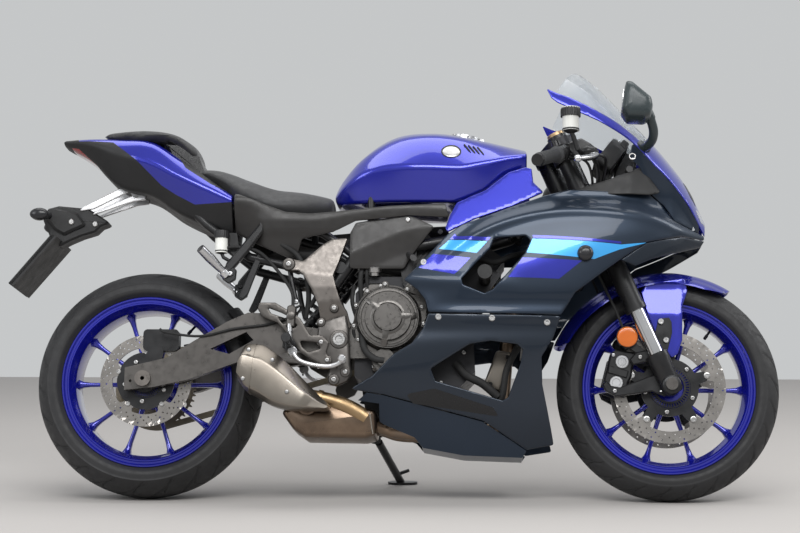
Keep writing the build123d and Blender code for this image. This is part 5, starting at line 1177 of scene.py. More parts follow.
outline = [(575, -30), (600, -60), (700, -73), (1000, -74), (1300, -74), (1560, -68), (1590, -40), (1590, 40),
    (1560, 68), (1300, 74), (1000, 74), (700, 73), (600, 60), (575, 30)]
panel("front_mudguard", outline, fender_lift, "blue", "body_blue", "front_fender", body="steering", step=11.0,
    corner=20.0)
panel("mudguard_cheeks", ((1322, 556), (1345, 578), (1440, 590), (1447, 556), (1432, 512), (1430, 420),
    (1416, 384), (1400, 372), (1390, 384), (1357, 444), (1335, 500)), mudguard_cheek_lift, "blue", "body_blue",
    body="steering", step=7.0, corner=9.0, both=True)

# ------------------------------------------------------------ fork, calipers and reflector
stanchion = Kit()
stanchion.lathe(leg_at(90), UP_LEG, ((0, 20.5), (298, 20.5)), 48)
stanchion.make("fork_stanchions", "chrome", "bare_alloy", "fork_legs", body="steering", smooth=30, both=True)
leg = Kit()
leg.lathe(leg_at(-22), UP_LEG, ((0, 20), (3, 25), (10, 28), (80, 28), (84, 29.5), (92, 29.5), (97, 31), (112, 31),
    (114, 29), (114, 21.2)), 48)
leg.lathe(Vector((FRONT.x, -134.6, FRONT.z)), (0, 1, 0), ((0, 20), (2, 24), (6, 26), (54, 26), (58, 22)), 44)
leg.plate(((1380, 268), (1392, 300), (1378, 330), (1340, 322), (1300, 306), (1262, 292), (1238, 296), (1226, 310),
    (1216, 300), (1224, 282), (1250, 268), (1300, 274), (1345, 282)), -98, -84, 3.0)
leg.plate(((1372, 352), (1366, 384), (1338, 392), (1306, 386), (1288, 366), (1298, 352), (1332, 360)), -98, -84,
    3.0)
leg.plate(((1345, 392), (1364, 470), (1372, 480), (1396, 482), (1403, 470), (1404, 440), (1386, 372), (1372, 340)),
    -83.5, -76, 2.0)
leg.lathe((FRONT.x, -134.6, FRONT.z), RIGHT, ((0, 17), (4.0, 16.5), (6.0, 15.0), (6.4, 11.0), (1.0, 9.2),
    (1.0, TIP)), 6)
leg.make("fork_lower_castings", "black_steel", "black_steel", body="steering", smooth=38, both=True)
trim = Kit()
trim.bolt(leg_at(-6, -33, -118), (0.15, 0, 1), 4.6, 5)
trim.bolt(leg_at(-6, -33, -92), (0.15, 0, 1), 4.6, 5)
for u, v in ((1373, 470), (1386, 420)):
    trim.lathe((u, -84.5, v), RIGHT, ((0, 8.5), (2.4, 8.5), (4.6, 6.8), (4.6, 3.8), (2.6, 3.2), (2.6, TIP)), 20)
trim.bolts(((1248, 282), (1316, 372)), 98, 6, 5)
trim.make("fork_bolts", "steel", "bare_alloy", body="steering", smooth=35, both=True)
clamps = Kit()
for shift in (-7, 7):
    clamps.bolt(leg_at(505 + shift, -42, -112), (-cos(CASTER), 0, -sin(CASTER)), 4.6, 5)
clamps.lathe(leg_at(745.2), UP_LEG, ((0, 19), (1.6, 19), (2.4, 17), (2.4, 9), (0.6, 8), (0.6, TIP)), 32)
clamps.make("yoke_bolts", "steel", "bare_alloy", body="steering", smooth=35, both=True)

CALIPER_TURN = radians(164)
calip = Kit()


def by_caliper(points):
    """Side-view places from (out from the axle, round towards the top) about the caliper's direction."""
    x_way, y_way = cos(CALIPER_TURN), sin(CALIPER_TURN)
    return [(FRONT.x + x * x_way + y * y_way, FRONT.z + x * y_way - y * x_way) for x, y in points]


calip.plate(by_caliper(((104, -50), (112, -62), (160, -58), (172, -44), (175, 40), (163, 58), (112, 63), (103, 50),
    (108, 20), (104, 0), (108, -20))), -80, -67.5, 5.0)
calip.plate(by_caliper(((158, -52), (173, -40), (175, 38), (162, 54), (152, 50), (152, -46))), -68, -40, 3.0)
calip.plate(by_caliper(((112, -56), (165, -52), (172, -36), (172, 36), (163, 52), (114, 57), (106, 44),
    (106, -44))), -54, -39, 4.0)
calip.plate(by_caliper(((116, -10), (168, -10), (170, 10), (116, 10))), -84, -78, 2.0)
calip.make("caliper_castings", "black_steel", "black_steel", "front_calipers", body="steering", both=True)
pots = Kit()
for u, v in by_caliper(((139, -29), (139, 29))):
    pots.lathe((u, -79.5, v), RIGHT, ((0, 18), (2.5, 18), (4.0, 16.5), (4.0, 11.0), (2.6, 10.0), (2.6, TIP)), 32)
pots.bolts(by_caliper(((166, -40), (166, 40), (110, -40), (110, 40))), 79.5, 5.5, 5)
pots.make("caliper_caps", "alloy", "bare_alloy", body="steering", smooth=35, both=True)

# side reflectors in the amber lens, whose faint glow is painted light
ref = Kit()
ref.lathe((1283, -96, 426), RIGHT, ((0, 27.5), (5.0, 27.5), (7.5, 26.0), (8.4, 22.0), (8.8, TIP)), 48)
ref.make("side_reflectors", "amber_lens", "amber_lens", body="steering", smooth=50, both=True)
back = Kit()
back.lathe((1283, -92, 426), RIGHT, ((0, 29), (8, 29), (10, 28.4), (10, 27.4), (4, 27.4)), 40)
back.plate(((1276, 396), (1290, 396), (1322, 372), (1334, 388), (1296, 418), (1280, 420)), -93, -88, 1.0)
back.make("reflector_brackets", "black_steel", "black_steel", body="steering", both=True)

# ------------------------------------------------------------ engine, exhaust and brackets
MUFFLER = ((262, 350, 257, 310), (275, 386, 262, 296), (300, 390, 283, 268), (330, 386, 315, 250),
    (385, 345, 350, 230), (440, 290, 392, 219), (480, 250, 440, 218), (500, 232, 480, 218), (503, 226, 492, 219))
MUFFLER_SECTION = ((0.02, 146), (0.0, 156), (0.0, 180), (0.025, 184), (0.27, 209.5), (0.30, 212), (0.34, 213.4),
    (0.80, 214), (0.88, 212.5), (0.92, 209), (0.985, 194), (1.0, 186), (1.0, 156), (0.97, 146), (0.9, 140),
    (0.1, 140))


def muffler_rings(stations, grow=0.0):
    """Rings between the upper and lower edge of each station, the end ones drawn in."""
    rings = []
    for k, s in enumerate(stations):
        squeeze = 0.8 if k in (0, len(stations) - 1) and not grow else 1.0
        ring = []
        for t, w in MUFFLER_SECTION:
            ring.append(Vector((s[0] + (s[2] - s[0]) * t, -177 - (w - 177) * squeeze, s[1] + (s[3] - s[1]) * t)))
        middle = sum(ring, Vector()) / len(ring)
        rings.append([p + (p - middle).normalized() * grow for p in ring])
    return rings


stations = smooth_path(MUFFLER, 5)
kit = Kit()
kit.rings(muffler_rings(stations))
kit.make("muffler_shell", "exhaust", "exhaust_steel", "muffler", smooth=24)
kit = Kit()
kit.rings([muffler_rings(stations)[0]] + muffler_rings(stations[1:12], 1.6))
kit.rings(muffler_rings([Vector((303, 390, 289, 264)), Vector((305.5, 390, 291.5, 263))], 3.0))
kit.make("muffler_end_cap", "exhaust", "exhaust_steel", smooth=24)
kit = Kit()
for u, v in ((290, 372), (276, 296), (392, 262), (352, 345)):
    kit.lathe((u, -212, v), RIGHT, ((0, 6), (3, 6), (5, 4.8), (5.6, TIP)), 18)
kit.make("muffler_rivets", "steel", "exhaust_steel", smooth=35)
kit = Kit()
kit.hose([(448, -120, 262), (500, -120, 250), (548, -118, 232), (592, -112, 205)], 20, 28,
    taper=[0.9 + 0.012 * k for k in range(19)])
kit.lathe((470, -120, 257), (0.97, 0, -0.24), ((-6, 19), (-6, 22), (6, 22), (6, 19)), 32)
kit.make("muffler_link_pipe", "gold_steel", "exhaust_steel")

COLLECTOR = ((620, 160), (620, 225), (480, 262), (420, 250), (366, 222), (400, 176), (432, 154), (590, 152))
kit = Kit()
kit.slab(COLLECTOR, -28, ((-20, 0), (112, 0), (121, 2.5), (127, 7.5), (130, 14)), 14, 5)
lean = radians(34)
for side in (-46, 46):
    start = Vector((790 + 136 * sin(lean) + 73 * cos(lean), side, 490 + 136 * cos(lean) - 73 * sin(lean)))
    bends = [start, start + Vector((34, 0, -22)), start + Vector((62, 0, -60)), (966, side, 420), (958, side, 330),
        (948, side, 232), (925, side * 0.97, 196), (880, side * 0.94, 179), (700, side * 0.75, 176),
        (640, side * 0.6, 188), (600, -30 + side * 0.6, 200)]
    kit.hose(bends, 19, 24)
kit.lathe((438, -118, 238), RIGHT, ((0, 24), (16, 24), (18, 27), (24, 27), (26, 24), (30, 22)), 32)
kit.make("exhaust_pipes_bent", "hot_exhaust", "exhaust_steel", "exhaust_pipes", smooth=36)
kit = Kit()
kit.tube([(612 - k * 1.0, -128.5, 162 + k * 6.2) for k in range(10)], 2.2, 8)
kit.tube([(478 - k * 12.5, -129.0 + abs(k - 4) * 0.2, 254 - k * 3.6) for k in range(9)], 1.8, 8)
kit.slab(((936, 392), (988, 384), (948, 278), (900, 294)), 72, ((84, 0), (88, 2), (90, 6)), 12)
kit.make("exhaust_seams_and_shield", "exhaust", "exhaust_steel", smooth=36)
kit = Kit()
kit.bolts(((966, 372), (920, 300)), 90, 6, 4)
kit.hose([(1010, -120, 420), (985, -128, 380), (962, -126, 330), (950, -116, 262), (920, -100, 226)], 9)
kit.hose([(828, -120, 352), (858, -128, 318), (900, -124, 296), (940, -118, 262)], 11)
kit.hose([(1010, -110, 610), (980, -122, 590), (946, -126, 560), (926, -122, 520), (930, -112, 470)], 10)
kit.hose([(884, -118, 640), (930, -124, 622), (976, -120, 640), (1020, -112, 650)], 8)
kit.make("coolant_hoses", "rubber", "black_plastic", smooth=50)

# clutch cover dressing, bolts and small covers on the right
CLUTCH = Vector((650, 0, 468))


def round_clutch(angle, radius, out):
    """Place round the clutch's centre, this far right of the centre plane."""
    return Vector((CLUTCH.x + radius * cos(radians(angle)), -out, CLUTCH.z + radius * sin(radians(angle))))


kit = Kit()
kit.lathe((CLUTCH.x, -150, CLUTCH.z), RIGHT, ((-40, 84.5), (-34, 92), (-24, 92), (-22, 88), (-14, 86), (-6, 84),
    (0, 81), (3.5, 77), (3.8, 72), (0.5, 69), (0.4, 50), (11, 48), (13.5, 44), (13.8, 39), (12.6, 37.5),
    (15.5, 35.5), (18.4, 33), (18.8, TIP)), 96)
for angle in (138, 4, 262):
    arm = []
    for radius, half, rise in ((34, 12, 15), (46, 11, 14), (58, 10, 12.5), (70, 10.5, 7), (79, 12, 2)):
        middle = round_clutch(angle, radius, 150)
        along = Vector((-sin(radians(angle)), 0, cos(radians(angle)))) * half
        section = ((1, 4), (0.8, -rise + 1.5), (0.5, -rise), (-0.5, -rise), (-0.8, -rise + 1.5), (-1, 4))
        arm.append([middle + along * part + Vector((0, out, 0)) for part, out in section])
    kit.rings(arm)
COVER_BOLTS = (20, 58, 96, 128, 158, 192, 226, 258, 292, 326, 352)
for angle in COVER_BOLTS:
    kit.lathe(round_clutch(angle, 94, 112), RIGHT, ((0, 9.5), (17, 9.5), (18, 8.5), (18, TIP)), 20)
kit.slab(((560, 420), (575, 400), (612, 392), (618, 362), (604, 330), (640, 318), (676, 330), (690, 366),
    (700, 392), (660, 396), (600, 440)), 112, ((124, 0), (127, 2), (128, 5)), 9)
kit.lathe((640, -127, 353), RIGHT, ((0, 33), (9, 33), (12, 30), (12, 22), (7, 20), (7, 12), (20, 10), (22, 8),
    (22, TIP)), 40)
for k in range(10):
    a = radians(36 * k)
    kit.tube([(640 + r * cos(a), -138.5, 353 + r * sin(a)) for r in (22, 31)], 1.8, 8)
kit.slab(((690, 560), (704, 574), (760, 552), (776, 530), (740, 522), (700, 540)), 110, ((124, 0), (128, 4)), 8)
kit.slab(((566, 548), (600, 566), (640, 566), (640, 552), (600, 540), (575, 520)), 106, ((120, 0), (124, 4)), 8)
kit.make("clutch_cover_dressing", "engine_cover", "engine_alloy", smooth=34)
kit = Kit()
for angle in COVER_BOLTS:
    kit.bolt(round_clutch(angle, 94, 130), RIGHT, 5.6, 5)
kit.bolts(((612, 340), (664, 334), (684, 380), (570, 412), (752, 542), (712, 560)), 128, 5.4, 5)
kit.bolts(((586, 546), (628, 558)), 124, 5.4, 5)
kit.bolts(((800, 500), (836, 440), (850, 380), (790, 300), (716, 290), (646, 288)), 116, 5.4, 5)
kit.lathe((612, -120, 588), (0, -0.3, 1), ((0, 14), (8, 14), (10, 18), (22, 18), (24, 15), (24, TIP)), 24)
kit.lathe((598, -118, 520), RIGHT, ((0, 8), (12, 8), (14, 6), (14, TIP)), 16)
kit.make("engine_bolts", "steel", "bare_alloy", smooth=35)
kit = Kit()
for u0, v0, u1, v1, r in ((578, 520, 586, 640, 7), (594, 545, 604, 650, 5), (566, 470, 556, 560, 6),
        (568, 400, 562, 470, 5)):
    kit.hose([(u0, -118, v0), ((u0 + u1) / 2 - 8, -126, (v0 + v1) / 2), (u1, -112, v1)], r)
kit.hose([(640, -150, 353), (612, -150, 360), (588, -142, 386), (580, -132, 430), (584, -122, 480)], 9)
kit.hose([(440, -118, 640), (470, -132, 590), (462, -134, 540), (440, -126, 500)], 6, 12)
kit.hose([(300, -112, 700), (352, -122, 676), (404, -128, 640), (430, -130, 580), (436, -126, 520),
    (428, -124, 470)], 7, 12)
kit.make("engine_hoses", "rubber", "black_plastic", smooth=50)
# cylinder, head and intakes behind the covers
kit = Kit()
kit.hose([(740, -70, 640), (716, -78, 668), (690, -84, 700)], 26, 24, per=5)
kit.slab(((560, 606), (600, 640), (640, 690), (700, 720), (760, 700), (772, 640), (740, 600), (690, 590)), 60,
    ((96, 0), (104, 8)), 16)
for k in range(7):
    kit.plate(((700 + 9 * k, 596 - 3 * k), (704 + 9 * k, 596 - 3 * k), (760 + 9 * k, 680 - 3 * k),
        (756 + 9 * k, 680 - 3 * k)), -108, -100)
kit.make("air_box_and_intakes", "black_plastic", "black_plastic")

# ------------------------------------------------------------ hanger plates
HANGER = ((539, 687), (533, 670), (516, 616), (503, 581), (514, 540), (525, 508), (541, 482), (552, 440),
    (478, 430), (472, 452), (464, 500), (448, 540), (423, 583), (409, 594), (393, 594), (372, 600), (366, 613),
    (374, 627), (393, 627), (422, 621), (472, 668), (499, 685))


def hanger_lift(u, v):
    """Hanger face in three flats, folded where the arm meets it and above its foot."""
    upper = max(0.0, v - 584 + (u - 460) * 0.09)
    lower = max(0.0, 511 + (u - 490) * 0.11 - v)
    return (u, -(161.0 - 0.17 * upper - 0.20 * lower - 0.05 * abs(v - 548) - 0.06 * max(0.0, 430 - u)), v)


panel("hanger_plate", HANGER, hanger_lift, "bronze", "bronze_alloy", "pivot_brackets", thick=16.0, step=6.0,
    roll=3.0, corner=8.0, both=True, smooth=26)
kit = Kit()
kit.slab(((504, 468), (539, 478), (547, 434), (551, 341), (557, 319), (544, 298), (515, 285), (497, 293),
    (491, 311), (498, 338), (485, 359), (470, 394), (462, 410), (466, 450)), 136, ((149, 0), (153, 2), (155.5, 6)),
    9)
for u, v, r in ((521, 409, 24), (507, 492, 11), (473, 454, 11), (509, 302, 14), (539, 322, 13), (474, 401, 12),
        (491, 353, 12), (384, 611, 16)):
    bore, floor = (9, 9) if r == 24 else (TIP, 0.04)
    kit.lathe((u, -150, v), RIGHT, ((0, r + 2), (6, r + 1), (8.5, r - 1), (8.8, r - 3), (8.8, bore), (2.0, floor)),
        36)
kit.make("hanger_feet", "gunmetal", "bronze_alloy", smooth=34, both=True)
kit = Kit()
for u, v, r in ((507, 492, 7), (473, 454, 7), (509, 302, 7.5), (539, 322, 7), (474, 401, 6.5), (491, 353, 6.5),
        (384, 611, 8)):
    kit.bolt((u, -158.6, v), RIGHT, r, 6)
kit.lathe((521, -158, 409), RIGHT, ((0, 17), (3, 17), (4.5, 15.5), (4.5, 10), (0, 9.2), (-6, 9.2), (-6, TIP)), 36)
kit.make("hanger_bolts", "steel", "bare_alloy", smooth=35, both=True)

# ------------------------------------------------------------ footrests
def ribs(start, step, count, high, low, marks):
    """Profile rows of round ribs: two marks on each rib and two in the groove after it."""
    radii = (high, high, low, low)
    return tuple((start + step * k + mark, r) for k in range(count) for mark, r in zip(marks, radii))


kit = Kit()
REST = ((504, 347), (483, 337), (452, 354), (419, 374), (409, 389), (376, 432), (357, 453), (338, 459), (317, 469),
    (304, 490), (308, 507), (350, 507), (385, 486), (418, 464), (445, 419), (477, 419), (496, 400), (488, 374))
panel("footrest_hangers", REST, lambda u, v: (u, -(161.0 + 2.0 * sin(u / 30.0)), v), "hanger_grey", "black_steel",
    "footrests", holes=(((418, 404), (464, 400), (474, 384), (440, 374), (424, 388)),
    ((330, 494), (366, 480), (394, 466), (386, 462), (340, 478)), ((356, 470), (392, 455), (372, 449)),
    ((394, 453), (412, 446), (398, 436))), thick=9.0, step=7.0, corner=5.0, both=True)
peg = ((0, 15), (14, 15), (16, 12), (24, 12), (25, 13.5)) + ribs(26, 4, 17, 13.2, 11.6, (0, 1.4, 1.8, 3.6))
kit.lathe((390, -152, 397), (0, -1, 0.03), peg + ((95, 13.2), (97, 12), (97, TIP)), 24)
kit.plate(((372, 386), (386, 378), (402, 380), (408, 396), (392, 412), (374, 406)), -166, -158, 2.0)
kit.tube([(390, -238, 390), (390, -238, 378), (390, -238, 366)], 4, 10, [1, 1, 0.6])
# passenger pegs, folded up, and their hangers
kit.plate(rounded(((298, 770), (314, 768), (314, 706), (274, 650), (236, 604), (222, 590), (208, 598), (214, 618),
    (258, 672), (298, 722)), 8, 4), -140, -122, 5.0)
kit.plate(rounded(((296, 650), (310, 642), (272, 536), (258, 522), (246, 530), (258, 556)), 5, 3), -118, -108, 2.0)
kit.hose([(384, -124, 606), (392, -128, 560), (404, -130, 512)], 7, 12, per=5)
kit.slab(((204, 606), (222, 612), (242, 600), (240, 574), (222, 562), (204, 574)), 124, ((136, 0), (138, 2)), 6)
kit.make("footrest_pegs_and_struts", "black_steel", "black_steel", smooth=38, both=True)
kit = Kit()
kit.tube([(212, -136, 590), (194, -152, 606), (174, -172, 626), (152, -194, 646)], 11, 16, [0.8, 1.0, 1.25, 1.1])
kit.tube([(216, -134, 584), (206, -140, 594)], 13, 16)
for u, w, v in ((226, -139, 588), (386, -131, 612), (404, -138, 512)):
    kit.bolt((u, w, v), RIGHT, 7, 6)
kit.make("passenger_pegs", "alloy", "bare_alloy", smooth=38, both=True)
# brake pedal, with its pivot and pushrod
kit = Kit()
kit.hose([(400, -170, 374), (416, -172, 352), (446, -173, 340), (490, -174, 334), (518, -176, 340),
    (532, -178, 352)], 6.2)
toe = ((0, 7),) + ribs(2, 5, 6, 9.5, 8.4, (0, 2.6, 3.0, 4.6)) + ((34, 9.0), (36, 7), (36, TIP))
kit.lathe((532, -170, 352), RIGHT, toe, 20)
kit.lathe((400, -160, 374), RIGHT, ((0, 13), (12, 13), (14, 11), (14, 6), (18, 6), (18, TIP)), 28)
kit.tube([(398, -166, 380), (392, -166, 430)], 4, 10)
kit.tube([(392, -166, 428), (390, -166, 448)], 7, 12)
kit.make("brake_pedal", "alloy", "bare_alloy", "foot_controls", smooth=38, both=True)
kit = Kit()
kit.slab(((380, 440), (404, 440), (408, 492), (398, 500), (384, 496)), 152, ((168, 0), (172, 3)), 6)
kit.lathe((394, -160, 470), RIGHT, ((0, 10), (16, 10), (17, 8), (17, TIP)), 20)
kit.tube([(340 + k * 3.0, -128 + 4 * sin(k * 1.3), 430 + 2.2 * k + 4 * cos(k * 1.3)) for k in range(26)], 1.6, 6)
kit.make("rear_master_cylinder", "gunmetal", "engine_alloy", smooth=38)
kit = Kit()
kit.hose([(398, -160, 496), (392, -150, 540), (350, -132, 600), (300, -126, 650), (240, -124, 664),
    (206, -122, 660)], 4.5, 10)
kit.hose([(404, -160, 492), (420, -146, 500), (400, -138, 476), (330, -136, 452), (240, -136, 440),
    (150, -134, 420), (60, -132, 430), (40, -128, 440)], 3.5, 10)
kit.make("rear_brake_lines", "rubber", "black_plastic", smooth=50)

# ------------------------------------------------------------ side covers
UPPER_COVER = ((232, 706), (310, 664), (384, 632), (402, 640), (416, 684), (500, 700), (560, 730), (700, 745),
    (812, 740), (804, 760), (800, 780), (640, 772), (512, 758), (436, 752), (372, 757), (300, 784), (246, 806),
    (232, 808))
LOWER_COVER = ((545, 700), (560, 728), (700, 752), (772, 716), (712, 640), (690, 602), (545, 602))


def upper_cover_lift(u, v):
    crease = curve_value(((232, 740), (440, 734), (560, 752), (700, 766), (812, 762)), u)
    half = 142.0 + 10.0 * max(0.0, 1 - abs(v - crease) / 46) ** 0.8 - 0.36 * max(0.0, 706 - v)
    tail = curve_value(((660, 84), (700, 95), (790, 149), (808, 141)), v)
    part = unit((u - 226) / 120)
    part = part * part * (3 - 2 * part)
    return (u, -(tail * (1 - part) + half * part), v)


def lower_cover_lift(u, v):
    crease = curve_value(((545, 640), (620, 676), (700, 706), (772, 716)), u)
    return (u, -(138.0 + 11.0 * max(0.0, 1 - abs(v - crease) / 60)), v)


panel("seat_side_covers", UPPER_COVER, upper_cover_lift, "cover_grey", "black_plastic", "side_covers", step=8.0,
    roll=3.5, corner=8.0, both=True, smooth=30)
panel("air_box_covers", LOWER_COVER, lower_cover_lift, "cover_grey", "black_plastic", step=8.0, roll=3.5,
    corner=10.0, both=True, smooth=30)
kit = Kit()
for u, v in ((780, 764), (700, 734)):
    kit.bolt((u, -146 if v > 740 else -144, v), RIGHT, 7, 5)
kit.make("cover_bolts", "steel", "bare_alloy", smooth=35, both=True)

# ------------------------------------------------------------ cockpit
def on_bar(distance):
    root, end = leg_at(685, 41), Vector((1039, -352, 846))
    return end + (root - end).normalized() * distance


BAR_WAY = (on_bar(10) - on_bar(0)).normalized()
MIRROR = ((1275, 1068), (1290, 1064), (1341, 1020), (1344, 1000), (1338, 972), (1322, 963), (1276, 965),
    (1261, 987), (1267, 1036))
outline = rounded(MIRROR, 12, 4)
middle = sum(outline, Vector((0, 0))) / len(outline)
kit = Kit()
rings = []
for w, s in ((237, 0.3), (238.5, 0.62), (243, 0.82), (250, 0.93), (262, 0.99), (290, 1), (318, 0.98), (332, 0.92),
        (340, 0.8), (344.5, 0.6), (346, 0.3)):
    rings.append([Vector((middle.x + (p.x - middle.x) * s - (w - 236) * 0.03, -w, middle.y + (p.y - middle.y) * s))
        for p in outline])
kit.rings(rings)
kit.hose([(1322, -158, 930), (1334, -178, 926), (1347, -206, 936), (1349, -232, 954), (1340, -256, 978),
    (1330, -270, 996)], 12.5, 18, taper=[1.4, 1.3, 1.2, 1.1, 1.0, 1.0] + [0.98] * 19 + [1.15] * 6)
kit.lathe((1330, -150, 928), (0.3, -1, 0), ((0, 17), (12, 16), (18, 13), (18, TIP)), 24)
kit.make("mirror_housings", "mirror_shell", "black_plastic", "mirrors", smooth=42, both=True)
kit = Kit()
face = rounded(((-320, 986), (-320, 1038), (-312, 1048), (-266, 1048), (-258, 1038), (-260, 990), (-268, 984)), 10,
    4)
rings = []
for out in (-4.0, 0.2):
    ring = []
    for w, v in face:
        u = 1261.4 + (v - 987) * 0.12 + (0.0 if v > 987 else (987 - v) * 0.62) - out - (-w - 236) * 0.03
        ring.append(Vector((u, w, v)))
    rings.append(ring)
kit.rings(rings)
kit.make("mirror_glasses", "chrome", "chrome_steel", both=True)


def ribbed_cap(kit, foot, radius, height, teeth=22):
    """Round cap with finger ribs."""
    low = height - 1.5
    steps = ((0, 0.94, 0), (0, 1, 1), (height * 0.8, 1, 1), (height, 0.93, 0), (height, 0.7, 0), (low, 0.66, 0),
        (low, 0.02, 0))
    ways = [Vector((x, y, 0)) * radius for x, y in circle(1, 4 * teeth)]
    kit.rings([
        [
            Vector(foot) + way * scale * (1 - 0.05 * bite * (k % 4 in (0, 1))) + Vector((0, 0, along))
            for k, way in enumerate(ways)
        ]
        for along, scale, bite in steps
    ])


kit = Kit()
ribbed_cap(kit, (1130, -266, 984), 26.5, 24)
kit.tube([(1148, -254, 897), (1138, -262, 930), (1130, -266, 946)], 6, 12)
kit.lathe((1130, -266, 940), (0, 0, 1), ((0, 9), (4, 16), (7, 20), (7, 22.6), (11, 22.6), (11, TIP)), 28)
kit.make("front_reservoir_cap", "black_plastic", "black_plastic", body="steering")
kit = Kit()
ribbed_cap(kit, (198, -122, 688), 20.5, 20, 18)
kit.lathe((198, -122, 646), (0, 0, 1), ((0, 9), (3, 15), (5, 17.4), (8, 17.4), (8, TIP)), 28)
kit.tube([(198, -122, 650), (204, -122, 636), (222, -118, 626)], 5, 12)
kit.plate(rounded(((212, 706), (238, 706), (246, 660), (232, 640), (222, 650), (214, 690)), 4, 3), -112, -106, 1.0)
kit.make("rear_reservoir_cap", "black_plastic", "black_plastic")

kit = Kit()
grip = ((0, 14.2), (0, 17.3), (1.5, 18)) + ribs(0, 5.2, 21, 18.0, 17.0, (3, 5.6, 5.9, 7.8))
kit.lathe(on_bar(13), BAR_WAY, grip + ((113, 18), (116, 21.6), (121, 22), (122, 20), (122, 14)), 40)
kit.make("ribbed_grips", "grip_rubber", "rubber", "grips", body="steering", smooth=34, both=True)
kit = Kit()
kit.lathe(on_bar(0.5), BAR_WAY, ((0, TIP), (3, 6), (0, 8), (0, 13), (2, 15.5), (8, 16.6), (11, 16.6), (12.5, 15)),
    32)
kit.lathe(on_bar(152), BAR_WAY, ((-17, 22), (-16, 23.4), (-1, 23.4), (0, 22.4), (1.4, 22.4), (2, 23.4), (20, 23.4),
    (21.5, 21.5), (21.5, 12)), 40)
kit.tube([on_bar(distance) + Vector((-2, 0, 16)) for distance in (140, 160)], 14, 4)
# master cylinder and perch, clutch side mirrored
kit.lathe((1146, -190, 906), (0.78, -0.62, -0.06), ((-8, 9), (-6, 13), (0, 15.5), (46, 15.5), (50, 13), (58, 9.5),
    (66, 8), (66, TIP)), 28)
kit.plate(rounded(((1128, 930), (1160, 940), (1184, 926), (1206, 906), (1204, 888), (1176, 882), (1140, 890),
    (1124, 906)), 8, 3), -218, -196, 5.0)
kit.lathe(on_bar(212), BAR_WAY, ((-9, 17), (-9, 22), (9, 22), (9, 17)), 32)
for shift in (-8, 8):
    kit.tube([on_bar(212 + shift) + Vector((24, -8, 6)), on_bar(212 + shift) + Vector((-24, 8, -4))], 4, 8)
kit.hose([(1130, -214, 896), (1168, -196, 902), (1190, -178, 894), (1202, -166, 866), (1204, -152, 832),
    (1192, -128, 800)], 3.6, 10)
kit.hose([(1126, -218, 888), (1160, -190, 890), (1180, -170, 880), (1190, -156, 852), (1192, -140, 820),
    (1184, -118, 792)], 3.6, 10)
kit.hose([(1200, -228, 892), (1222, -204, 890), (1226, -170, 874), (1220, -128, 840), (1212, -96, 806),
    (1206, -80, 776)], 4.2, 10)
kit.make("bar_weights_perches_and_cables", "black_steel", "black_steel", body="steering", both=True)
kit = Kit()
kit.hose([(1170, -206, 893), (1184, -222, 892), (1197, -240, 888), (1194, -258, 881), (1174, -290, 869),
    (1152, -316, 860), (1144, -326, 856)], 6.6, 14, per=5, taper=[1.5] * 4 + [1.25] * 6 + [1.0] * 21)
kit.lathe((1152, -316, 860), (-0.6, -0.72, -0.3), ((2, 5), (4, 8), (9, 10), (14, 10), (19, 7.5), (21.5, 3),
    (22, TIP)), 20)
kit.lathe((1176, -214, 903), (0, 0, 1), ((0, 7), (4, 7), (5, 6), (5, TIP)), 6)
kit.make("lever_blades", "alloy", "bare_alloy", body="steering", smooth=45, both=True)
kit = Kit()
place = on_bar(152) + Vector((-12, 0, 20))
kit.lathe(place, (-0.4, 0, 1), ((0, 7), (5, 7), (6, 6), (6, TIP)), 18)
kit.make("engine_stop_switch", "red_lens", "red_lens", body="steering")
kit = Kit()
kit.lathe(on_bar(165) + Vector((-8, 0, 26)), (-0.5, -0.2, 0.85), ((-6, 5), (5, 5), (7, 4), (7, TIP)), 6)
kit.lathe(leg_at(745, place=0), UP_LEG, ((0, 17), (10, 17), (12, 15), (12, TIP)), 6)
for side in (-1, 1):
    kit.lathe(leg_at(738, place=105 * side), UP_LEG, ((0, 24), (8, 24), (9.5, 22.5), (9.5, 15), (6, 13.5), (6, 7),
        (9, 6), (9, TIP)), 32)
kit.make("fork_caps_and_adjusters", "gold_steel", "bare_alloy", body="steering", smooth=38)
# instruments: bezel and dark face
kit = Kit()
face_at, face_side = Vector((1240, 0, 938)), Vector((0.62, 0, 0.785))
face_out = Vector((-0.785, 0, 0.62))
rim_line = rounded(((-84, -40), (-84, 30), (-62, 44), (62, 44), (84, 30), (84, -40), (60, -50), (-60, -50)), 14, 4)


def dial(kit, steps):
    """Closed form round the instrument's face: steps of (scale, outward)."""
    kit.rings([
        [face_at + face_side * v * s + Vector((0, w * s, 0)) + face_out * out for w, v in rim_line]
        for s, out in steps
    ])


dial(kit, ((0.98, -34), (1, 4), (0.98, 12), (0.9, 13), (0.88, 9), (0.02, 9)))
kit.plate(((1300, 800), (1330, 812), (1316, 930), (1290, 950), (1262, 900), (1250, 850)), -34, 34, 4.0)
kit.make("instrument_shell", "black_plastic", "black_plastic")
kit = Kit()
dial(kit, ((0.87, 8), (0.87, 9.8), (0.85, 10.4), (0.02, 10.4)))
kit.make("instrument_face", "smoked_lens", "black_plastic")
kit = Kit()
kit.lathe((1297, -163, 901), (0.1, -1, 0.1), ((0, 9.5), (6, 9.5), (7.2, 8.6), (7.2, 7.0), (1, 6.4), (1, TIP)), 28)
kit.make("cockpit_ring_bolts", "steel", "bare_alloy", both=True)
# the chin panels take the darker copy of the slate paint: painted shade
panel("chin_panels", ((1500, 699), (1430, 692), (1331, 662), (1262, 613), (1300, 600), (1345, 622), (1420, 650),
    (1488, 680)), fairing_skin, "slate_painted_shade", "black_plastic", step=7.0, roll=1.5, corner=2.0, both=True)

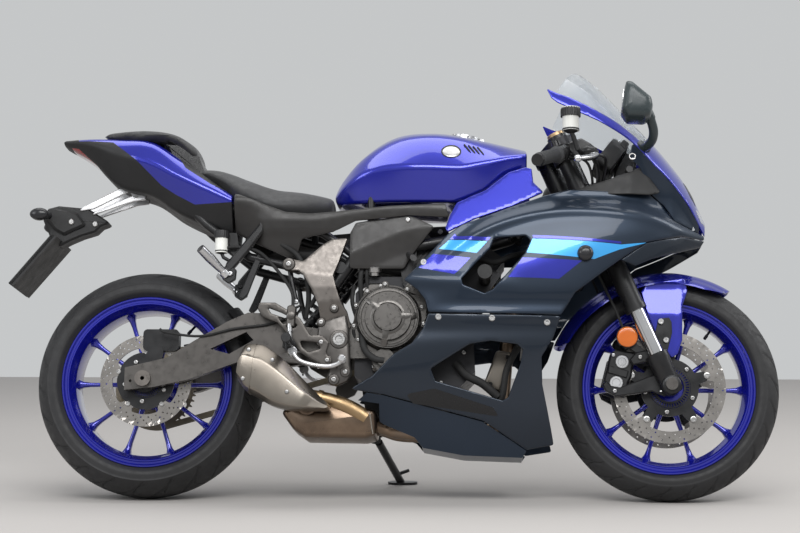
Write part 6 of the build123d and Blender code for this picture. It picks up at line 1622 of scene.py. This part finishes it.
# ------------------------------------------------------------ plate holder
kit = Kit()
for place in (-32, 24):
    kit.plate(rounded(((-212, 784), (-200, 797), (-106, 845), (-60, 867), (-26, 857), (-26, 838), (-78, 838),
        (-172, 790)), 4, 3), place, place + 8, 1.5)
    kit.plate(rounded(((-176, 772), (-168, 782), (-60, 830), (-26, 832), (-28, 816), (-60, 812)), 4, 3), place,
        place + 8, 1.5)
    kit.plate(((-74, 840), (-58, 846), (-46, 822), (-60, 818)), place, place + 8, 1.0)
kit.make("plate_holder_arms", "bright_arm", "bare_alloy", smooth=35)
kit = Kit()
kit.plate(rounded(((-300, 792), (-270, 800), (-186, 792), (-124, 752), (-150, 742), (-166, 726), (-204, 714),
    (-236, 700), (-262, 686), (-288, 706), (-312, 760)), 8, 3), -27.5, 27.5, 5.0)
kit.plate(rounded(((-290, 784), (-276, 792), (-216, 778), (-190, 744), (-226, 728), (-250, 716), (-276, 730),
    (-298, 758)), 8, 3), -38, 38, 6.0)
# plate panel with a raised border, and the reflector under it
for low, high, inner, outer in ((-94, 94, 0.0, 6.0), (-94, -84, 6.0, 9.0), (84, 94, 6.0, 9.0)):
    back, rise, front, lift = outer * -0.78, outer * 0.62, inner * 0.78, inner * 0.62
    border = ((-264 + back, 702 + rise), (-376 + back, 565 + rise), (-374 - front + 4, 560 + lift + 2),
        (-258 - front + 2, 698 + lift + 2))
    kit.plate(border, low, high)
for at_end in (0.02, 0.94):
    u, v = -262 - 114 * at_end, 700 - 139 * at_end
    corners = ((0, 4), (8, 4), (8, 10), (0, 10))
    kit.plate([(u + a * -0.64 + b * -0.78, v + a * -0.77 + b * 0.63) for a, b in corners], -94, 94)
kit.make("plate_holder_body", "black_plastic", "black_plastic", "plate_holder", smooth=35)
kit = Kit()
for w in (-72, 72):
    kit.bolt((-283, w, 688), (-0.78, 0, 0.62), 6, 4)
kit.lathe((-166, -28, 748), RIGHT, ((0, 8), (3, 8), (5, 6), (5, TIP)), 20)
kit.lathe((-230, -38, 752), RIGHT, ((0, 8), (3, 8), (5, 6), (5, TIP)), 20)
kit.make("plate_holder_bolts", "steel", "bare_alloy", smooth=35)


def pod(kit, middle, sizes, way, steps):
    """Teardrop lamp pod along the way: steps of (along, scale)."""
    kit.rings([
        [
            Vector(middle) + Vector((sizes[0] * scale * x, 0, sizes[1] * scale * y)) + Vector(way) * along
            for x, y in circle(1, 24)
        ]
        for along, scale in steps
    ])


POD = ((0, 0.3), (1.5, 0.6), (5, 0.85), (10, 1.0), (20, 1.0), (26, 0.86), (30, 0.6), (31.5, 0.3))
kit = Kit()
pod(kit, (-308, -72, 763), (26, 17), RIGHT, POD)
kit.tube([(-292, -30, 770), (-302, -74, 766)], 9, 16)
pod(kit, (1166, -216, 626), (21, 21), (0.05, -1, 0), POD)
kit.make("indicator_pods", "indicator_shell", "amber_lens", "indicators", smooth=50, both=True)

# ------------------------------------------------------------ room, light and camera
FLOOR_SIZE, FLOOR_EDGE = 40.0, 4.2
floor_look = Shade("pale_floor", (0.44, 0.42, 0.40), 0.85, spec=0.2)
floor_look.vary(0.6, 0.02)
floor_look.bump(floor_look.noise(45.0, 3.0), 0.05, 0.001)
mesh = bpy.data.meshes.new("floor")
h = FLOOR_SIZE / 2
mesh.from_pydata([(-h, -h, 0), (h, -h, 0), (h, h, 0), (-h, h, 0)], [], [(0, 1, 2, 3)])
floor = bpy.data.objects.new("floor", mesh)
bpy.context.scene.collection.objects.link(floor)
floor.location = (0, FLOOR_EDGE - h, 0)
mesh.materials.append(floor_look.mat)

# the world lights the object evenly, and is seen as a pale wall beyond the floor
world = bpy.data.worlds.new("studio")
world.use_nodes = True
tree = world.node_tree
lit = tree.nodes["Background"]
lit.inputs["Color"].default_value = (0.92, 0.95, 1.0, 1.0)
lit.inputs["Strength"].default_value = 0.5
wall = tree.nodes.new("ShaderNodeBackground")
wall.inputs["Color"].default_value = (0.560, 0.572, 0.578, 1.0)
path = tree.nodes.new("ShaderNodeLightPath")
seen = path.outputs["Is Camera Ray"]
for ray in ("Is Glossy Ray", "Is Transmission Ray"):
    either = tree.nodes.new("ShaderNodeMath")
    either.operation = "MAXIMUM"
    tree.links.new(seen, either.inputs[0])
    tree.links.new(path.outputs[ray], either.inputs[1])
    seen = either.outputs[0]
mixed = tree.nodes.new("ShaderNodeMixShader")
tree.links.new(seen, mixed.inputs[0])
tree.links.new(lit.outputs[0], mixed.inputs[1])
tree.links.new(wall.outputs[0], mixed.inputs[2])
tree.links.new(mixed.outputs[0], tree.nodes["World Output"].inputs["Surface"])
bpy.context.scene.world = world
bpy.context.scene.view_settings.view_transform = "Standard"


def area(name, place, target, size, power, color=(1, 1, 1)):
    """Rectangular lamp at a place, turned to its target."""
    light = bpy.data.lights.new(name, "AREA")
    light.shape = "RECTANGLE"
    light.size, light.size_y = size
    light.energy = power
    light.color = color
    obj = bpy.data.objects.new(name, light)
    bpy.context.scene.collection.objects.link(obj)
    obj.location = place
    obj.rotation_euler = (Vector(target) - Vector(place)).to_track_quat("-Z", "Y").to_euler()


area("key_light", (0.6, -3.4, 3.6), (0, 0, 0.5), (4.5, 1.6), 170)
area("fill_light", (-3.6, -2.6, 2.2), (0, 0, 0.5), (2.0, 2.0), 45, (0.95, 0.97, 1.0))
area("rim_light", (3.8, 0.4, 2.6), (0.6, 0, 0.6), (1.4, 2.4), 50)
area("top_light", (0, 0.4, 3.9), (0, 0, 0), (4.5, 2.0), 80)

# the photograph's camera: focal length and picture width in pixels, on a sensor of 36 mm
FOCAL, WIDTH, SENSOR = 1922.0, 800.0, 36.0
YAW, PITCH = radians(2.5), 0.0163877
camera_data = bpy.data.cameras.new("camera")
camera_data.sensor_width = SENSOR
camera_data.lens = SENSOR * FOCAL / WIDTH
camera = bpy.data.objects.new("camera", camera_data)
bpy.context.scene.collection.objects.link(camera)
camera.location = Vector((0.90282, -5.12167, 0.70755)) + OFFSET
ahead = Vector((-sin(YAW) * cos(PITCH), cos(YAW) * cos(PITCH), -sin(PITCH)))
camera.rotation_euler = ahead.to_track_quat("-Z", "Y").to_euler()
bpy.context.scene.camera = camera
